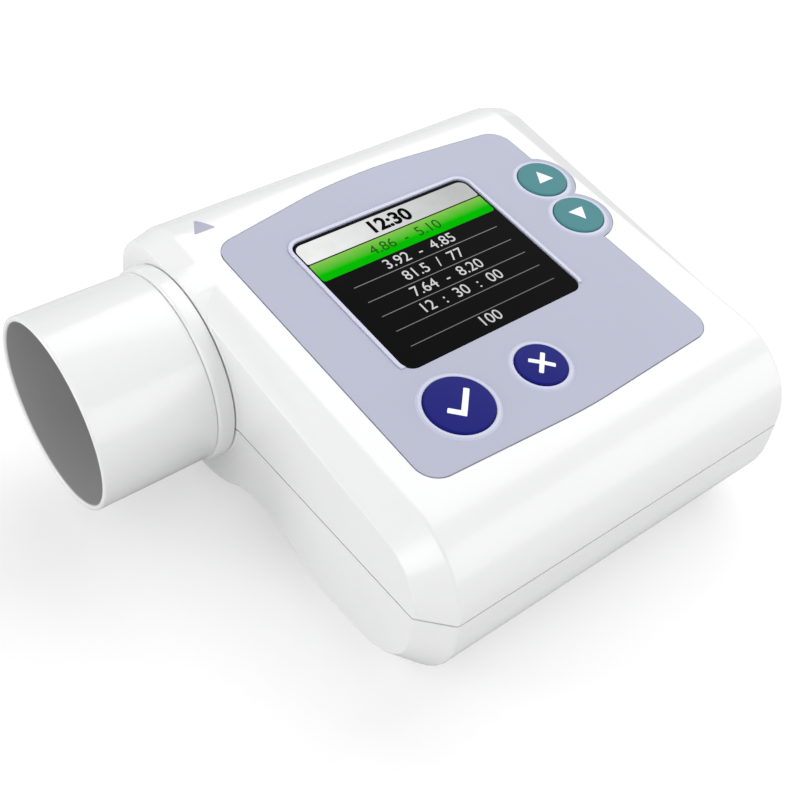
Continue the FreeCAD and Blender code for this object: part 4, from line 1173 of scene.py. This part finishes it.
class SPIROMETER_OT_stage(bpy.types.Operator):
    """Build the floor, the lights and the camera"""
    bl_idname = "spirometer.stage"
    bl_label = "Stage"

    LAMPS = {
        "key": ((0.4, 0.2, 0.58), (0.85, 0.6)),
        "fill": ((-0.8, -0.15, 0.2), (0.6, 0.35)),
        "front": ((0.4, -0.8, 0.3), (1.4, 0.6)),
        "rim": ((-0.58, 0.4, 0.25), (0.25, 0.5)),
    }

    def execute(self, context):
        stage = context.scene.spirometer_stage
        self.floor(stage)
        self.world(context, stage)
        for name, (where, spans) in self.LAMPS.items():
            self.lamp(f"{name}_light", Vector(where), spans, getattr(stage, f"{name}_power"))
        self.camera(context, stage)
        context.scene.view_settings.view_transform = "Standard"
        return {"FINISHED"}

    def floor(self, stage):
        """A pale paper floor, lifted towards white where the camera sees it."""
        bm = bmesh.new()
        bmesh.ops.create_grid(bm, x_segments=1, y_segments=1, size=FLOOR_REACH)
        piece = finish_mesh("floor", bm)
        tree, shader, where = paints.start("floor_paper", (0.6, 0.6, 0.6), 0.9)
        tone_by(tree, shader, noise(tree, where, 400, 3), (0.59, 0.59, 0.59), (0.61, 0.61, 0.61))
        lift = tree.nodes.new("ShaderNodeEmission")
        rays = tree.nodes.new("ShaderNodeLightPath")
        seen = tree.nodes.new("ShaderNodeMath")
        seen.operation = "MULTIPLY"
        seen.inputs[1].default_value = stage.floor_lift
        tree.links.new(rays.outputs["Is Camera Ray"], seen.inputs[0])
        tree.links.new(seen.outputs["Value"], lift.inputs["Strength"])
        both = tree.nodes.new("ShaderNodeAddShader")
        tree.links.new(shader.outputs["BSDF"], both.inputs[0])
        tree.links.new(lift.outputs["Emission"], both.inputs[1])
        tree.links.new(both.outputs["Shader"], tree.nodes["Material Output"].inputs["Surface"])
        paint(piece, paints.made["floor_paper"])

    def world(self, context, stage):
        """Even white surroundings."""
        world = bpy.data.worlds.new("studio")
        world.use_nodes = True
        background = world.node_tree.nodes["Background"]
        background.inputs["Color"].default_value = (1, 1, 1, 1)
        background.inputs["Strength"].default_value = stage.world_level
        context.scene.world = world

    def lamp(self, name, where, spans, power):
        """A soft light that faces the casing."""
        data = bpy.data.lights.new(name, "AREA")
        data.shape = "RECTANGLE"
        data.size, data.size_y = spans
        data.energy = power
        lamp = bpy.data.objects.new(name, data)
        bpy.context.scene.collection.objects.link(lamp)
        lamp.location = where
        lamp.rotation_euler = (-where).to_track_quat("-Z", "Y").to_euler()

    def camera(self, context, stage):
        """The photograph's view: direction, roll and distance from the aim."""
        azimuth, elevation = stage.azimuth, stage.elevation
        back = Vector((math.sin(azimuth) * math.cos(elevation), -math.cos(azimuth) * math.cos(elevation),
                       math.sin(elevation)))
        right = Vector((math.cos(azimuth), math.sin(azimuth), 0))
        up = back.cross(right)
        across = right * math.cos(stage.roll) + up * math.sin(stage.roll)
        upward = up * math.cos(stage.roll) - right * math.sin(stage.roll)
        data = bpy.data.cameras.new("camera")
        data.sensor_width = SENSOR_WIDTH
        data.lens = stage.lens
        data.clip_start = MM
        data.clip_end = VIEW_REACH
        camera = bpy.data.objects.new("camera", data)
        context.scene.collection.objects.link(camera)
        where = Vector(stage.aim) - across * stage.shift[0] - upward * stage.shift[1] + back * stage.distance
        turn = Matrix((across, upward, back)).transposed().to_4x4()
        camera.matrix_world = Matrix.Translation(where) @ turn
        context.scene.camera = camera


class SPIROMETER_PT_panel(bpy.types.Panel):
    """The sidebar panel that lists the pieces and their sizes"""
    bl_idname = "SPIROMETER_PT_panel"
    bl_label = "Handheld Spirometer"
    bl_space_type = "VIEW_3D"
    bl_region_type = "UI"
    bl_category = "Spirometer"

    def draw(self, context):
        scene = context.scene
        for operator in OPERATORS:
            self.layout.operator(operator.bl_idname)
        for attribute, group in GROUPS.items():
            box = self.layout.box()
            box.label(text=group.__doc__)
            for name in group.__annotations__:
                box.prop(getattr(scene, attribute), name)


GROUPS = {
    "spirometer_casing": CasingSizes, "spirometer_airway": AirwaySizes, "spirometer_deck": DeckSizes,
    "spirometer_finishes": Finishes, "spirometer_stage": StageSettings,
}
OPERATORS = (SPIROMETER_OT_casing, SPIROMETER_OT_mark, SPIROMETER_OT_overlay, SPIROMETER_OT_keys,
             SPIROMETER_OT_display, SPIROMETER_OT_airway, SPIROMETER_OT_inner_finishes, SPIROMETER_OT_stage)


def register():
    """Add the groups of values, the operators and the panel."""
    for group in GROUPS.values():
        bpy.utils.register_class(group)
    for attribute, group in GROUPS.items():
        setattr(bpy.types.Scene, attribute, bpy.props.PointerProperty(type=group))
    for cls in (*OPERATORS, SPIROMETER_PT_panel):
        bpy.utils.register_class(cls)


def unregister():
    """Take everything out again, in the opposite order."""
    for cls in (SPIROMETER_PT_panel, *reversed(OPERATORS)):
        bpy.utils.unregister_class(cls)
    for attribute in GROUPS:
        delattr(bpy.types.Scene, attribute)
    for group in reversed(GROUPS.values()):
        bpy.utils.unregister_class(group)


def main():
    """Build every piece."""
    register()
    make_materials()
    for operator in OPERATORS:
        group, name = operator.bl_idname.split(".")
        getattr(getattr(bpy.ops, group), name)()


if __name__ == "__main__":
    main()
